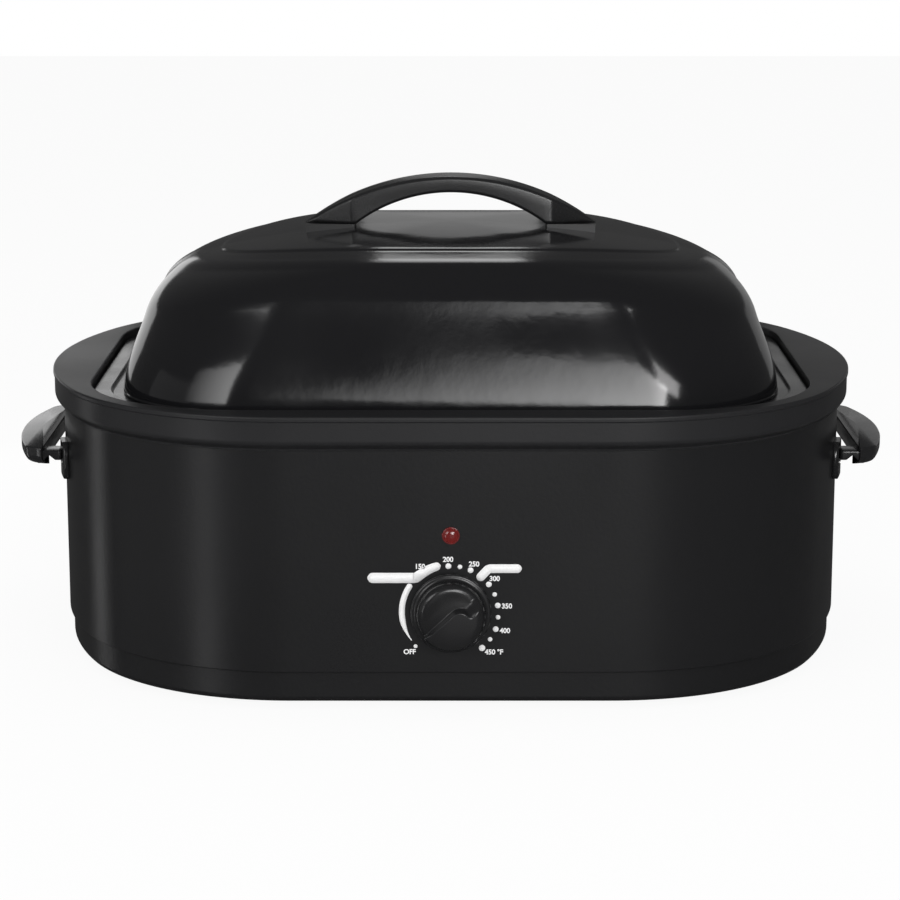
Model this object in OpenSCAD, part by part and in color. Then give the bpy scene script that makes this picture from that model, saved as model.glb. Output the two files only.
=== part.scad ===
// Electric roaster oven: an oval countertop casing with a heated well, a lift-out
// roasting pan with a wire rack in it, and a domed lid that lifts off.
// Millimetres. +X to the right, +Y to the back, +Z up. The origin is on the table,
// under the middle of the whole oven with its knob, and the front faces -Y.

/* [Casing] */
// Width of the collar's top at the corners of the opening
collar_corner_w = 11.8; // [10:0.2:14]
// Width of the collar's top in front of the opening and behind it
collar_front_w = 25; // [22:0.5:30]
// Length of the straight run in the middle of the front and of the back
front_flat = 210; // [170:1:235]
// Radius of the curved left and right ends of the collar
end_r = 300; // [285:1:320]
// Height of the casing, from its bottom edge to the collar's top
casing_h = 192; // [180:1:215]
// Thickness of the sheet steel of the casing, the base and the well
sheet_t = 0.6; // [0.5:0.1:1]
// How far the shell's wall stands inside the collar's outline
wall_in = 7; // [6:0.5:9]
// How far the base's side stands inside the collar's outline
base_in = 9.8; // [9.5:0.1:13]
// Height of the base's band, up to the shell's lower edge
base_band_h = 21; // [14:1:28]
// Radius of the base's bottom edge
base_edge_r = 4; // [2:0.5:7]

/* [Collar] */
// Height of the collar's outer band
collar_h = 23.5; // [20:0.5:28]
// Height of the small lip around the collar's top edge
collar_lip_h = 3; // [2:0.5:5]
// Thickness of the collar's sheet
collar_t = 1.2; // [0.8:0.1:1.6]

/* [Opening] */
// Length of the opening in the collar
opening_l = 489; // [470:1:510]
// Depth of the opening, front to back
opening_d = 390; // [375:1:405]
// Corner radius of the opening
opening_r = 108; // [104:1:120]
// Depth of the pan's rim below the collar's top
rim_drop = 5; // [4:0.5:8]

/* [Roasting pan] */
// Depth of the pan inside, below the lid's seat
pan_depth = 150; // [120:1:156]
// Thickness of the enamelled steel of the pan
pan_t = 0.8; // [0.6:0.1:1.2]
// Width of the pan's flat rim outside the lid's seat
pan_rim_w = 12; // [9:0.5:15]
// Depth of the step from the rim down to the lid's seat
seat_step = 2.5; // [1.5:0.5:4]
// Width of the lid's seat
seat_w = 14; // [12:0.5:18]
// How much narrower the pan is at its floor, on each side
pan_draft = 6; // [2:0.5:10]
// Radius between the pan's wall and its floor
pan_floor_r = 22; // [14:1:30]

/* [Lid] */
// Height of the lid above the pan's seat
lid_h = 103.5; // [85:0.5:120]
// Gap between the lid's rim and the inner edge of the pan's flat rim
lid_gap = 8; // [4:0.5:10]
// Lean of the lid's side
lid_lean = 15; // [8:1:22]
// Radius of the lid's shoulder over the ends
lid_end_shoulder_r = 52; // [40:1:65]
// Radius of the lid's shoulder over the front and the back
lid_front_shoulder_r = 34; // [25:1:45]
// Crown radius of the lid along its length
lid_long_crown_r = 780; // [600:10:1200]
// Crown radius of the lid across its depth
lid_cross_crown_r = 1000; // [600:10:1500]
// Thickness of the lid's steel
lid_t = 0.8; // [0.6:0.1:1.2]
// How far the raised oval panel stands inside the crown's edge at its ends
panel_end_in = 13.5; // [6:0.5:30]
// How far the raised oval panel stands inside the crown's edge at its front and back
panel_side_in = 38; // [20:1:50]
// Height of the raised panel
panel_h = 1.2; // [0.6:0.1:2]

/* [Lid handle] */
// Height of the handle's top above its feet
handle_rise = 33.4; // [30:0.2:38]
// Radius of the handle's outer arc
handle_outer_r = 174; // [150:1:200]
// Radius of the handle's inner arc
handle_inner_r = 111; // [100:1:120]
// Thickness of the handle at its top
handle_t = 11.2; // [8:0.2:14]
// Width of the handle, front to back
handle_w = 31; // [24:1:40]
// Rounding of the handle's outer edges
handle_edge_r = 2.2; // [1:0.1:4]
// Thickness of the pad under each foot, at its inner end
handle_pad_t = 2.2; // [1.6:0.2:4]
// Distance between the lid handle's two screws
handle_screw_gap = 166; // [158:1:174]

/* [Side handles] */
// Length of a side handle, front to back
ear_l = 156; // [120:1:180]
// Reach of a side handle from the collar's outline to its outermost edge
ear_reach = 24.6; // [18:0.1:34]
// Gap between a side handle's inner edge and the shell at its middle
ear_gap = 8; // [7:0.5:12]
// Thickness of a side handle
ear_t = 12.6; // [9:0.1:16]
// Depth of the side handles' top below the collar's top
ear_drop = 50; // [40:1:60]
// Rounding of a side handle's lower outer edge
ear_round = 7; // [4:0.5:9]
// Width of each arm that carries a side handle
arm_w = 18; // [14:1:22]
// Thickness of the arms
arm_t = 7; // [5:0.5:9]
// Height of the plate that bears on the shell
ear_plate_h = 26; // [22:1:34]
// Thickness of that plate
ear_plate_t = 4; // [3:0.5:6]

/* [Control] */
// Height of the knob's axis above the casing's bottom edge
dial_z = 62; // [50:1:75]
// Radius of the knob's skirt
knob_r = 26.3; // [22:0.1:30]
// Radius of the knob's grip
grip_r = 22.5; // [18:0.1:24]
// How far the knob stands out from the shell
knob_reach = 22; // [19:1:30]
// Radius of the thermostat's shaft
shaft_r = 3; // [2.5:0.1:4]
// Radial running clearance of the shaft in its bush
shaft_play = 0.06; // [0.02:0.01:0.1]
// Angle between the knob's pointer and straight up when it is off
off_angle = 133; // [120:1:150]
// Height of the lamp above the knob's axis
lamp_rise = 51; // [44:1:60]
// Radius of the lamp's lens
lamp_r = 5.7; // [4.5:0.1:7]

/* [Rack] */
// Diameter of the rack's wires
wire_d = 4; // [3:0.2:5]
// Gap between the rack's outer wire and the pan's wall at the rack's level
rack_gap = 12; // [8:1:20]
// Height of the rack's feet above the pan's floor
rack_leg_h = 18; // [14:1:30]
// Number of wires across the rack
rack_wires = 13; // [7:2:19]
// Gap between the last cross wire and the frame's end
rack_end_gap = 14; // [8:1:24]
// Height of the rack's lifting handles above the rack
rack_handle_h = 70; // [40:1:90]
// Length of each lifting handle, front to back
rack_handle_l = 90; // [70:1:110]

/* [Base] */
// Height of the rubber feet below the casing
foot_h = 4.5; // [3:0.5:8]
// Radius of a foot
foot_r = 11; // [8:0.5:14]
// Spacing of the feet along the oven
feet_x = 360; // [300:2:390]
// Spacing of the feet across the oven
feet_y = 250; // [200:2:280]

/* [Hidden] */

black = "#1d1d1f";
enamel = "#17171a";
steel = "#b9bcc0";
brass = "#c8a24a";
rubber = "#2b2b2b";
ceramic = "#e8e4da";
wool = "#d8d2b0";

// Clearances and small parts
body_gap = 0.3;
free_gap = 1.2;
hole_play = 0.2;
screw_r = 2;
screw_head_r = 3.8;
screw_head_h = 2;
ledge_w = 8;
hem_w = 3.6;
hem_lap = 9;
bush_r = 5;
arm_end_in = 4;

// Heights above the table
casing_z = foot_h;
collar_z = casing_z + casing_h;
shell_z = casing_z + base_band_h;
shell_top_z = collar_z - collar_t;
rim_z = collar_z - rim_drop;
seat_z = rim_z - seat_step;
pan_floor_z = seat_z - pan_depth;
ledge_z = seat_z - pan_t - body_gap - sheet_t;
base_floor_z = casing_z + sheet_t;
dial_height = casing_z + dial_z;
lamp_height = dial_height + lamp_rise;

// The casing's outline: a straight run, a corner arc and an end arc in each quarter.
// The corner arc touches the straight run and passes the collar's width at the corner,
// and the end arc touches it in turn, which gives the casing's length.
half_d = opening_d / 2 + collar_front_w;
flat_x = front_flat / 2;
corner_reach = (opening_r + collar_corner_w) * cos(45) - opening_r;
pass_x = opening_l / 2 + corner_reach;
pass_drop = half_d - opening_d / 2 - corner_reach;
corner_r = (pow(pass_x - flat_x, 2) + pow(pass_drop, 2)) / (2 * pass_drop);
corner_y = half_d - corner_r;
end_x = flat_x - sqrt(pow(end_r - corner_r, 2) - pow(corner_y, 2));
half_l = end_x + end_r;
join_angle = atan2(corner_y, flat_x - end_x);
end_steps = 5;
corner_steps = 9;
quarter_steps = end_steps + corner_steps;

// Where the casing stands along Y: the knob reaches out in front of the collar
body_y = (knob_reach - wall_in) / 2;

// One quarter of the casing's outline, from the +X axis to the front's straight run
function casing_quarter(inset) = concat(
    [for (i = [0:end_steps - 1]) let (a = join_angle * i / end_steps)
        [end_x + (end_r - inset) * cos(a), (end_r - inset) * sin(a)]],
    [for (i = [0:corner_steps]) let (a = join_angle + (90 - join_angle) * i / corner_steps)
        [flat_x + (corner_r - inset) * cos(a), corner_y + (corner_r - inset) * sin(a)]]);

// One quarter of a rectangle with round corners, with as many points
function rounded_quarter(l, d, r) = concat([[l, 0]],
    [for (i = [0:quarter_steps - 1]) let (a = 90 * i / (quarter_steps - 1))
        [l - r + r * cos(a), d - r + r * sin(a)]]);

// A whole outline from one quarter of it
function whole(q) = let (n = len(q)) concat(q,
    [for (i = [n - 1:-1:0]) [-q[i][0], q[i][1]]],
    [for (i = [1:n - 1]) [-q[i][0], -q[i][1]]],
    [for (i = [n - 1:-1:1]) [q[i][0], -q[i][1]]]);
function casing(inset) = whole(casing_quarter(inset));

// The opening's family of outlines: the corners draw in slowly from the opening to
// the lid, so that pan, well and lid all follow one another
lid_in = free_gap + pan_rim_w + lid_gap;
corner_draw = 16;
lid_corner_r = opening_r - corner_draw;
function nest_r(inset) = opening_r - corner_draw * inset / lid_in;
function nest(inset) = whole(rounded_quarter(opening_l / 2 - inset, opening_d / 2 - inset,
    nest_r(inset)));

// Points of an outline lifted to a height
function lift(pts, z) = [for (p = pts) [p[0], p[1], z]];

// Skin over a list of rings with equally many points. A tube closes on its first
// ring; anything else is capped at both ends by a fan about the ring's middle.
function middle(ring) = [for (p = ring) 1] * ring / len(ring);
module skin(rings, tube = false) {
    n = len(rings[0]);
    m = len(rings);
    last = (m - 1) * n;
    sides = [for (j = [0:m - (tube ? 1 : 2)], i = [0:n - 1])
        [j * n + i, ((j + 1) % m) * n + i, ((j + 1) % m) * n + (i + 1) % n, j * n + (i + 1) % n]];
    fans = tube ? [] : [for (i = [0:n - 1]) each
        [[i, (i + 1) % n, m * n], [last + (i + 1) % n, last + i, m * n + 1]]];
    middles = tube ? [] : [middle(rings[0]), middle(rings[m - 1])];
    polyhedron(points = concat([for (r = rings, p = r) p], middles), faces = concat(sides, fans),
        convexity = 8);
}

// Arc from one angle to another, as profile points [outward, up]
function arc(c, r, from, to, steps) = [for (i = [0:steps]) let (a = from + (to - from) * i / steps)
    [c[0] + r * cos(a), c[1] + r * sin(a)]];

// Cylinder along +Y from its start
module rod_y(r, l) rotate([-90, 0, 0]) cylinder(r = r, h = l, $fn = 48);

// ---- Casing ----

through = 30;
side_hole_y = ear_l / 2 - arm_w / 2 - arm_end_in;
ear_top_z = collar_z - ear_drop;
ear_screw_z = ear_top_z - ear_plate_h / 2;
gland_r = 8;
gland_lip = 1.5;
gland_gap = 0.5;
gland_run_in = 25;
gland_x = flat_x - gland_run_in;
gland_z = shell_z + hem_lap + gland_gap + gland_lip + gland_r;
lamp_hole_r = lamp_r - 1;
clamp_screw_x = 14;
clamp_screw_r = 1.5;

module wall_ring(outer, t, h) {
    linear_extrude(h) difference() {
        polygon(casing(outer));
        polygon(casing(outer + t));
    }
}

module body_shell() {
    color(black) translate([0, body_y, 0]) difference() {
        union() {
            translate([0, 0, shell_z]) wall_ring(wall_in, sheet_t, shell_top_z - shell_z);
            translate([0, 0, shell_z]) wall_ring(wall_in, hem_w, sheet_t);
        }
        translate([0, -half_d, dial_height]) rod_y(bush_r + hole_play, through);
        for (x = [-clamp_screw_x, clamp_screw_x])
            translate([x, -half_d, dial_height]) rod_y(clamp_screw_r + hole_play, through);
        translate([0, -half_d, lamp_height]) rod_y(lamp_hole_r + hole_play, through);
        translate([gland_x, half_d - through, gland_z]) rod_y(gland_r + hole_play, through);
        for (s = [-1, 1], y = [-side_hole_y, side_hole_y])
            translate([s * (half_l - through), y, ear_screw_z]) rotate([0, s * 90, 0])
                cylinder(r = screw_r + hole_play, h = 2 * through, $fn = 32);
    }
}

module rim_collar() {
    tuck = wall_in - hole_play;
    color(black) translate([0, body_y, collar_z]) skin([
        lift(casing(0.9), 0),
        lift(casing(0.25), -0.3),
        lift(casing(0), -0.9),
        lift(casing(0), -collar_lip_h),
        lift(casing(0.8), -collar_lip_h - 0.7),
        lift(casing(0.8), -collar_h + 7),
        lift(casing(1.5), -collar_h + 5),
        lift(casing(tuck - 1), -collar_h + 1.5),
        lift(casing(tuck), -collar_h),
        lift(casing(tuck), -collar_h + 2.2),
        lift(casing(0.8 + collar_t), -collar_h + 6),
        lift(casing(0.8 + collar_t), -collar_t),
        lift(nest(-collar_t), -collar_t),
        lift(nest(-collar_t), ledge_z - collar_z - collar_t),
        lift(nest(ledge_w), ledge_z - collar_z - collar_t),
        lift(nest(ledge_w), ledge_z - collar_z),
        lift(nest(0), ledge_z - collar_z),
        lift(nest(0), -0.8),
        lift(nest(-0.8), 0)], tube = true);
}

cup_r = 20;
cup_h = 9;
stud_r = 3;
vent_rows = 3;
vent_x = 110;
vent_step = 22;
vent_l = 44;
vent_r = 3;

module base_tray() {
    edge = arc([base_edge_r, base_edge_r], base_edge_r, 270, 180, 4);
    inner_r = base_edge_r - sheet_t;
    inner = arc([base_edge_r, base_edge_r], inner_r, 180, 270, 3);
    lap_in = wall_in + hem_w - sheet_t;
    color(black) translate([0, body_y, casing_z]) difference() {
        union() {
            difference() {
                skin(concat(
                    [for (p = edge) lift(casing(base_in + p[0]), p[1])],
                    [lift(casing(base_in), base_band_h - sheet_t), lift(casing(base_in), base_band_h),
                        lift(casing(lap_in + sheet_t + hole_play), base_band_h),
                        lift(casing(lap_in + sheet_t + hole_play), base_band_h + hem_lap),
                        lift(casing(lap_in + 2 * sheet_t + hole_play), base_band_h + hem_lap),
                        lift(casing(lap_in + 2 * sheet_t + hole_play), base_band_h - sheet_t),
                        lift(casing(base_in + sheet_t), base_band_h - 2 * sheet_t)],
                    [for (p = inner) lift(casing(base_in + p[0]), p[1])]));
                translate([0, 0, -1]) cylinder(r = cup_r, h = sheet_t + 2, $fn = 64);
                for (s = [-1, 1], k = [-vent_rows:vent_rows]) translate([s * vent_x, k * vent_step, -1])
                    linear_extrude(sheet_t + 2) slot(vent_l, vent_r);
            }
            cylinder(r = cup_r + sheet_t, h = cup_h, $fn = 64);
        }
        translate([0, 0, -1]) cylinder(r = cup_r, h = cup_h - sheet_t + 1, $fn = 64);
        cylinder(r = stud_r + hole_play, h = 2 * cup_h, $fn = 32);
        at_feet() cylinder(r = screw_r + hole_play, h = 4 * sheet_t, center = true, $fn = 32);
    }
}

module slot(l, r) {
    square([l, 2 * r], center = true);
    for (s = [-1, 1]) translate([s * l / 2, 0]) circle(r, $fn = 24);
}

module at_feet() for (x = [-1, 1], y = [-1, 1]) translate([x * feet_x / 2, y * feet_y / 2, 0]) children();

module rubber_feet() {
    color(rubber) translate([0, body_y, 0]) at_feet() difference() {
        cylinder(r1 = foot_r - 1.5, r2 = foot_r, h = foot_h, $fn = 48);
        translate([0, 0, -1]) cylinder(r = screw_head_r + 0.7, h = foot_h - 1, $fn = 32);
        cylinder(r = screw_r + hole_play / 2, h = 3 * foot_h, center = true, $fn = 32);
    }
}

module foot_screws() {
    color(steel) translate([0, body_y, 0]) at_feet() {
        translate([0, 0, foot_h - 2]) mirror([0, 0, 1]) cylinder(r1 = screw_head_r, r2 = screw_head_r - 1,
            h = foot_h - 2.8, $fn = 32);
        translate([0, 0, foot_h - 2]) cylinder(r = screw_r, h = 9, $fn = 32);
    }
}

// ---- Heating ----

cavity_in = free_gap + pan_rim_w + seat_w;
well_gap = 4;
well_in = cavity_in - pan_t - well_gap;
well_floor_z = pan_floor_z - pan_t - well_gap;
well_floor_r = pan_floor_r + pan_t + well_gap;
well_wall_z = [well_floor_z + well_floor_r, ledge_z - 2];

// Drafted pan of sheet metal: rings of its inside from the floor up, and of its
// outside from the top down
function pan_rings(inset, draft, floor_r, t, floor) = let (
    up = arc([floor_r, floor_r], floor_r, 270, 180, 5),
    down = arc([floor_r, floor_r], floor_r + t, 180, 270, 5))
    [[for (p = up) lift(nest(inset + draft + p[0]), floor + p[1])],
     [for (p = down) lift(nest(inset + draft + p[0]), floor + p[1])]];

module heating_well() {
    r = pan_rings(well_in, pan_draft, well_floor_r, sheet_t, well_floor_z);
    top = ledge_z + sheet_t;
    color(steel) translate([0, body_y, 0]) skin(concat(
        r[0],
        [lift(nest(well_in), top - 2), lift(nest(well_in - 1.5), top),
            lift(nest(free_gap), top), lift(nest(free_gap), ledge_z),
            lift(nest(well_in - 1.5), ledge_z), lift(nest(well_in - sheet_t), well_wall_z[1])],
        r[1]));
}

stud_foot_z = casing_z + 1.5;
stud_plate_r = 12;
stud_plate_h = 2.5;
module tie_stud() {
    rise = well_floor_z - sheet_t - stud_plate_h - stud_foot_z;
    color(steel) translate([0, body_y, stud_foot_z]) {
        cylinder(r = stud_r, h = rise, $fn = 32);
        translate([0, 0, rise]) cylinder(r = stud_plate_r, h = stud_plate_h, $fn = 48);
    }
}

nut_r = 5.8;
nut_h = 3;
washer_r = 9;
washer_t = 1;
module tie_nut() {
    color(steel) translate([0, body_y, casing_z + cup_h - sheet_t - nut_h - washer_t]) difference() {
        union() {
            cylinder(r = nut_r, h = nut_h, $fn = 6);
            translate([0, 0, nut_h]) cylinder(r = washer_r, h = washer_t, $fn = 48);
        }
        translate([0, 0, -1]) cylinder(r = stud_r, h = 2 * nut_h, $fn = 32);
    }
}

band_h = 26;
band_t = 2.4;
band_drop = 28;
band_step = 46;
band_tops = [ledge_z - band_drop, ledge_z - band_drop - band_step];
// Inset of the well's outer face at a height
function well_inset_at(z) = well_in - sheet_t
    + pan_draft * (well_wall_z[1] - z) / (well_wall_z[1] - well_wall_z[0]);
blanket_t = 18;
blanket_in = well_inset_at(band_tops[0]) - band_t;
blanket_lift = 34;
blanket_drop = 18;
blanket_z = [casing_z + blanket_lift, ledge_z - blanket_drop];
window_w = 60;
window_h = 62;

module insulation_blanket() {
    color(wool) translate([0, body_y, 0]) difference() {
        translate([0, 0, blanket_z[0]]) linear_extrude(blanket_z[1] - blanket_z[0]) difference() {
            polygon(nest(blanket_in - blanket_t));
            polygon(nest(blanket_in));
        }
        translate([-window_w / 2, -half_d, blanket_z[0] - 1]) cube([window_w, half_d, window_h]);
    }
}

// Each band's top edge meets the well's sloping wall
module heater_bands() {
    color(ceramic) translate([0, body_y, 0]) for (z = band_tops) translate([0, 0, z - band_h])
        linear_extrude(band_h) difference() {
            polygon(nest(well_inset_at(z) - band_t));
            polygon(nest(well_inset_at(z)));
        }
}

// ---- Control ----

panel_y = -half_d + wall_in;
inner_y = panel_y + sheet_t;
body_size = [30, 12, 24];
bracket_t = 1.2;
bracket_leg = 9;
bracket_h = 18;
lug_w = 12;
lug_x = clamp_screw_x - lug_w / 2;

module at_dial() translate([0, body_y, dial_height]) children();

module thermostat_bracket() {
    color(steel) at_dial() translate([0, inner_y, 0]) difference() {
        translate([0, 0, -bracket_h / 2]) union() {
            for (s = [-1, 1]) translate([s * clamp_screw_x - lug_w / 2, 0, 0])
                cube([lug_w, bracket_t, bracket_h]);
            for (s = [-1, 1]) translate([s * lug_x - bracket_t / 2, 0, 0])
                cube([bracket_t, bracket_leg, bracket_h]);
            translate([-lug_x - bracket_t / 2, bracket_leg - bracket_t, 0])
                cube([2 * lug_x + bracket_t, bracket_t, bracket_h]);
        }
        translate([0, -1, 0]) rod_y(bush_r, through);
        for (s = [-1, 1]) translate([s * clamp_screw_x, -1, 0]) rod_y(clamp_screw_r, bracket_leg);
    }
}

module thermostat_body() {
    color(ceramic) at_dial() translate([0, inner_y, 0]) difference() {
        union() {
            translate([-body_size[0] / 2, bracket_leg, -body_size[2] / 2]) cube(body_size);
            translate([0, 1, 0]) rod_y(bush_r, bracket_leg);
        }
        rod_y(shaft_r + shaft_play, bracket_leg + body_size[1] - 2);
    }
}

clamp_screw_l = 6;
clamp_head_r = 2.8;
clamp_head_h = 1.2;
module thermostat_screws() {
    color(steel) at_dial() for (s = [-1, 1]) translate([s * clamp_screw_x, panel_y, 0]) {
        rod_y(clamp_screw_r, clamp_screw_l);
        translate([0, -clamp_head_h, 0]) rod_y(clamp_head_r, clamp_head_h);
    }
}

knob_gap = 1.8;
shaft_set_back = 10;
shaft_front = knob_reach - shaft_set_back;

module thermostat_shaft() {
    color(steel) at_dial() translate([0, panel_y - shaft_front, 0])
        rod_y(shaft_r, shaft_front + sheet_t + bracket_leg + body_size[1] - 3);
}

// Knob profile turned about its axis: a thin skirt and a domed grip
skirt_t = 5;
grip_edge_r = 6;
crown_rise = 2.5;
module knob_turned(top) {
    rotate_extrude($fn = 96) polygon(concat([[0, 0], [knob_r - 1, 0], [knob_r, 1],
        [knob_r, skirt_t - 2]], arc([knob_r - 2, skirt_t - 2], 2, 0, 90, 4),
        arc([grip_r - grip_edge_r, top - grip_edge_r], grip_edge_r, 0, 60, 6),
        [[0, top + crown_rise]]));
}

// High half of the grip: its edge runs in from the pointer at +X, through the middle,
// and hooks round the end of the finger scoop
hook_r = 7.5;
module high_half() {
    difference() {
        translate([0, 2 * grip_r]) square([4 * grip_r, 4 * grip_r], center = true);
        translate([-hook_r, 0]) circle(hook_r, $fn = 64);
    }
}

scoop_depth = 7;
module control_knob() {
    color(enamel) at_dial() translate([0, panel_y - knob_gap, 0]) rotate([90, 0, 0]) difference() {
        union() {
            knob_turned(knob_reach - knob_gap - crown_rise - scoop_depth);
            intersection() {
                knob_turned(knob_reach - knob_gap - crown_rise);
                rotate(off_angle + 90) linear_extrude(2 * knob_reach) high_half();
            }
        }
        translate([0, 0, -1]) cylinder(r = knob_r - 2.5, h = skirt_t - 1.5, $fn = 64);
        translate([0, 0, -1]) cylinder(r = shaft_r, h = shaft_front - knob_gap + 1, $fn = 48);
    }
}

lens_dome = 3.2;
lens_barrel = 9;
module indicator_lens() {
    color("#b3261c") translate([0, body_y + panel_y, lamp_height]) rotate([90, 0, 0]) difference() {
        union() {
            rotate_extrude($fn = 64) polygon(concat([[0, 0], [lamp_r, 0], [lamp_r, 0.8]],
                [for (i = [1:8]) [lamp_r * cos(90 * i / 8), 0.8 + (lens_dome - 0.8) * sin(90 * i / 8)]]));
            translate([0, 0, -lens_barrel]) cylinder(r = lamp_hole_r, h = lens_barrel, $fn = 48);
        }
        translate([0, 0, -lens_barrel - 1]) cylinder(r = lamp_hole_r - 1.2, h = lens_barrel + 1, $fn = 48);
    }
}

module lens_retainer() {
    color(steel) translate([0, body_y + inner_y, lamp_height]) rotate([-90, 0, 0]) difference() {
        cylinder(r = lamp_hole_r + 3.5, h = 1, $fn = 6);
        translate([0, 0, -1]) cylinder(r = lamp_hole_r, h = 3, $fn = 48);
    }
}

module lamp_bulb() {
    r = lamp_hole_r - 1.2;
    color("#ffb070") translate([0, body_y + panel_y + lens_barrel, lamp_height]) rotate([90, 0, 0]) {
        cylinder(r = r - 0.6, h = lens_barrel - 2.5, $fn = 32);
        translate([0, 0, -4]) cylinder(r = lamp_hole_r, h = 4, $fn = 32);
    }
}

gland_bore_r = 3.8;
module cord_gland() {
    color(rubber) translate([gland_x, body_y + half_d - wall_in, gland_z]) rotate([-90, 0, 0])
        difference() {
            union() {
                cylinder(r = gland_r + 2.5, h = 3, $fn = 48);
                translate([0, 0, 3]) cylinder(r1 = gland_r + 1, r2 = gland_r - 1.5, h = 3, $fn = 48);
                translate([0, 0, -6]) cylinder(r = gland_r, h = 6, $fn = 48);
                translate([0, 0, -sheet_t - 2]) cylinder(r = gland_r + gland_lip, h = 2, $fn = 48);
            }
            translate([0, 0, -through / 2]) cylinder(r = gland_bore_r, h = through, $fn = 32);
        }
}

block_size = [36, 18, 16];
block_foot_gap = 30;
block_x = feet_x / 2 - block_foot_gap;
block_y = 120;
wire_hole_r = 2;
terminal_r = 1.5;
terminal_h = 6;
terminals = [for (x = [-12, 0, 12], y = [-5, 5]) [x, y, block_size[2] - terminal_h]];
module at_block() translate([block_x, body_y + block_y, base_floor_z]) children();
module terminal_block() {
    color(ceramic) at_block() difference() {
        translate([-block_size[0] / 2, -block_size[1] / 2, 0]) cube(block_size);
        for (p = terminals) {
            translate([p[0], -block_size[1], p[2]]) rod_y(wire_hole_r, 2 * block_size[1]);
            translate(p) cylinder(r = terminal_r, h = 2 * terminal_h, $fn = 24);
        }
    }
}

module terminal_screws() {
    color(brass) at_block() for (p = terminals)
        translate([p[0], p[1], p[2] + wire_hole_r]) cylinder(r = terminal_r, h = 3.4, $fn = 24);
}

// ---- Side handles ----

ear_in_x = half_l - wall_in + ear_gap;
ear_out_x = half_l + ear_reach;
// The ear's outer edge: one wide bow with rounded ends
ear_bow = ear_out_x - ear_in_x - 9;
ear_bow_r = (ear_l * ear_l / 4 + ear_bow * ear_bow) / (2 * ear_bow);
function ear_outline(d) = concat(
    [[ear_in_x, ear_l / 2 - d / 2], [ear_in_x, -ear_l / 2 + d / 2]],
    [for (i = [0:14]) let (y = (ear_l / 2 - d) * (2 * i / 14 - 1))
        [ear_out_x - d - ear_bow_r + sqrt(ear_bow_r * ear_bow_r - y * y)
            - 5 * pow(abs(2 * i / 14 - 1), 8), y]]);

module ear() {
    translate([0, 0, ear_round]) linear_extrude(ear_t - ear_round - 0.8) polygon(ear_outline(0));
    hull() {
        for (k = [0:3]) let (a = 90 * k / 3)
            translate([0, 0, ear_round * (1 - cos(a))]) linear_extrude(0.01)
                polygon(ear_outline(ear_round * (1 - sin(a))));
        translate([0, 0, ear_round]) linear_extrude(0.01) polygon(ear_outline(0));
    }
    hull() {
        translate([0, 0, ear_t - 0.81]) linear_extrude(0.01) polygon(ear_outline(0));
        translate([0, 0, ear_t - 0.01]) linear_extrude(0.01) polygon(ear_outline(0.8));
    }
}

module side_handle(s) {
    mount_x = half_l - wall_in - 12;
    color(enamel) translate([0, body_y, ear_top_z]) mirror([s < 0 ? 1 : 0, 0, 0]) difference() {
        union() {
            translate([0, 0, -ear_t]) ear();
            for (y = [-1, 1]) translate([mount_x, y * side_hole_y - arm_w / 2, -3 - arm_t])
                cube([ear_in_x - mount_x + 3, arm_w, arm_t]);
            intersection() {
                translate([0, 0, -ear_plate_h + 3]) linear_extrude(ear_plate_h)
                    polygon(casing(wall_in - ear_plate_t));
                for (y = [-1, 1]) translate([mount_x, y * side_hole_y - arm_w / 2, -ear_plate_h])
                    cube([through, arm_w, ear_plate_h]);
            }
        }
        translate([0, 0, -2 * ear_plate_h]) linear_extrude(4 * ear_plate_h) polygon(casing(wall_in));
        for (y = [-side_hole_y, side_hole_y]) translate([mount_x, y, -ear_plate_h / 2])
            rotate([0, 90, 0]) cylinder(r = screw_r, h = 20, $fn = 32);
    }
}
module side_handle_left() side_handle(-1);
module side_handle_right() side_handle(1);

// The heads bear on the shell's curved wall at their outermost edge
module side_handle_screws() {
    bearing_y = side_hole_y + screw_head_r;
    wall = [for (p = casing_quarter(wall_in + sheet_t)) [p[1], p[0]]];
    hole_x = lookup(bearing_y, wall) - hole_play;
    color(steel) translate([0, body_y, ear_screw_z]) for (s = [-1, 1], y = [-side_hole_y, side_hole_y])
        translate([s * hole_x, y, 0]) rotate([0, s * 90, 0]) {
            translate([0, 0, -screw_head_h]) cylinder(r = screw_head_r, h = screw_head_h, $fn = 32);
            cylinder(r = screw_r, h = 6, $fn = 32);
        }
}

// ---- Roasting pan ----

module roasting_pan() {
    r = pan_rings(cavity_in, pan_draft, pan_floor_r, pan_t, pan_floor_z);
    edge_in = free_gap;
    step_in = edge_in + pan_rim_w;
    color(enamel) translate([0, body_y, 0]) skin(concat(
        r[0],
        [lift(nest(cavity_in), seat_z - 2), lift(nest(cavity_in - 1.2), seat_z),
            lift(nest(step_in + 1), seat_z), lift(nest(step_in - 0.6), rim_z),
            lift(nest(edge_in + 1), rim_z), lift(nest(edge_in), rim_z - 1),
            lift(nest(edge_in), seat_z - pan_t), lift(nest(edge_in + pan_t), seat_z - pan_t),
            lift(nest(edge_in + pan_t), rim_z - 1 - pan_t), lift(nest(step_in - 1), rim_z - pan_t),
            lift(nest(step_in), seat_z - pan_t), lift(nest(cavity_in - 1.8), seat_z - pan_t),
            lift(nest(cavity_in - pan_t), seat_z - 3)],
        r[1]));
}

// ---- Rack ----

rack_z = pan_floor_z + body_gap + rack_leg_h;
rack_in = cavity_in + pan_draft + rack_gap;
rack_l = opening_l / 2 - rack_in;
rack_d = opening_d / 2 - rack_in;
// The rack's corner is squarer than the pan's, and squarer still where the gap leaves room
rack_r = opening_r - 4 * rack_gap;
wire_r = wire_d / 2;

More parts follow.
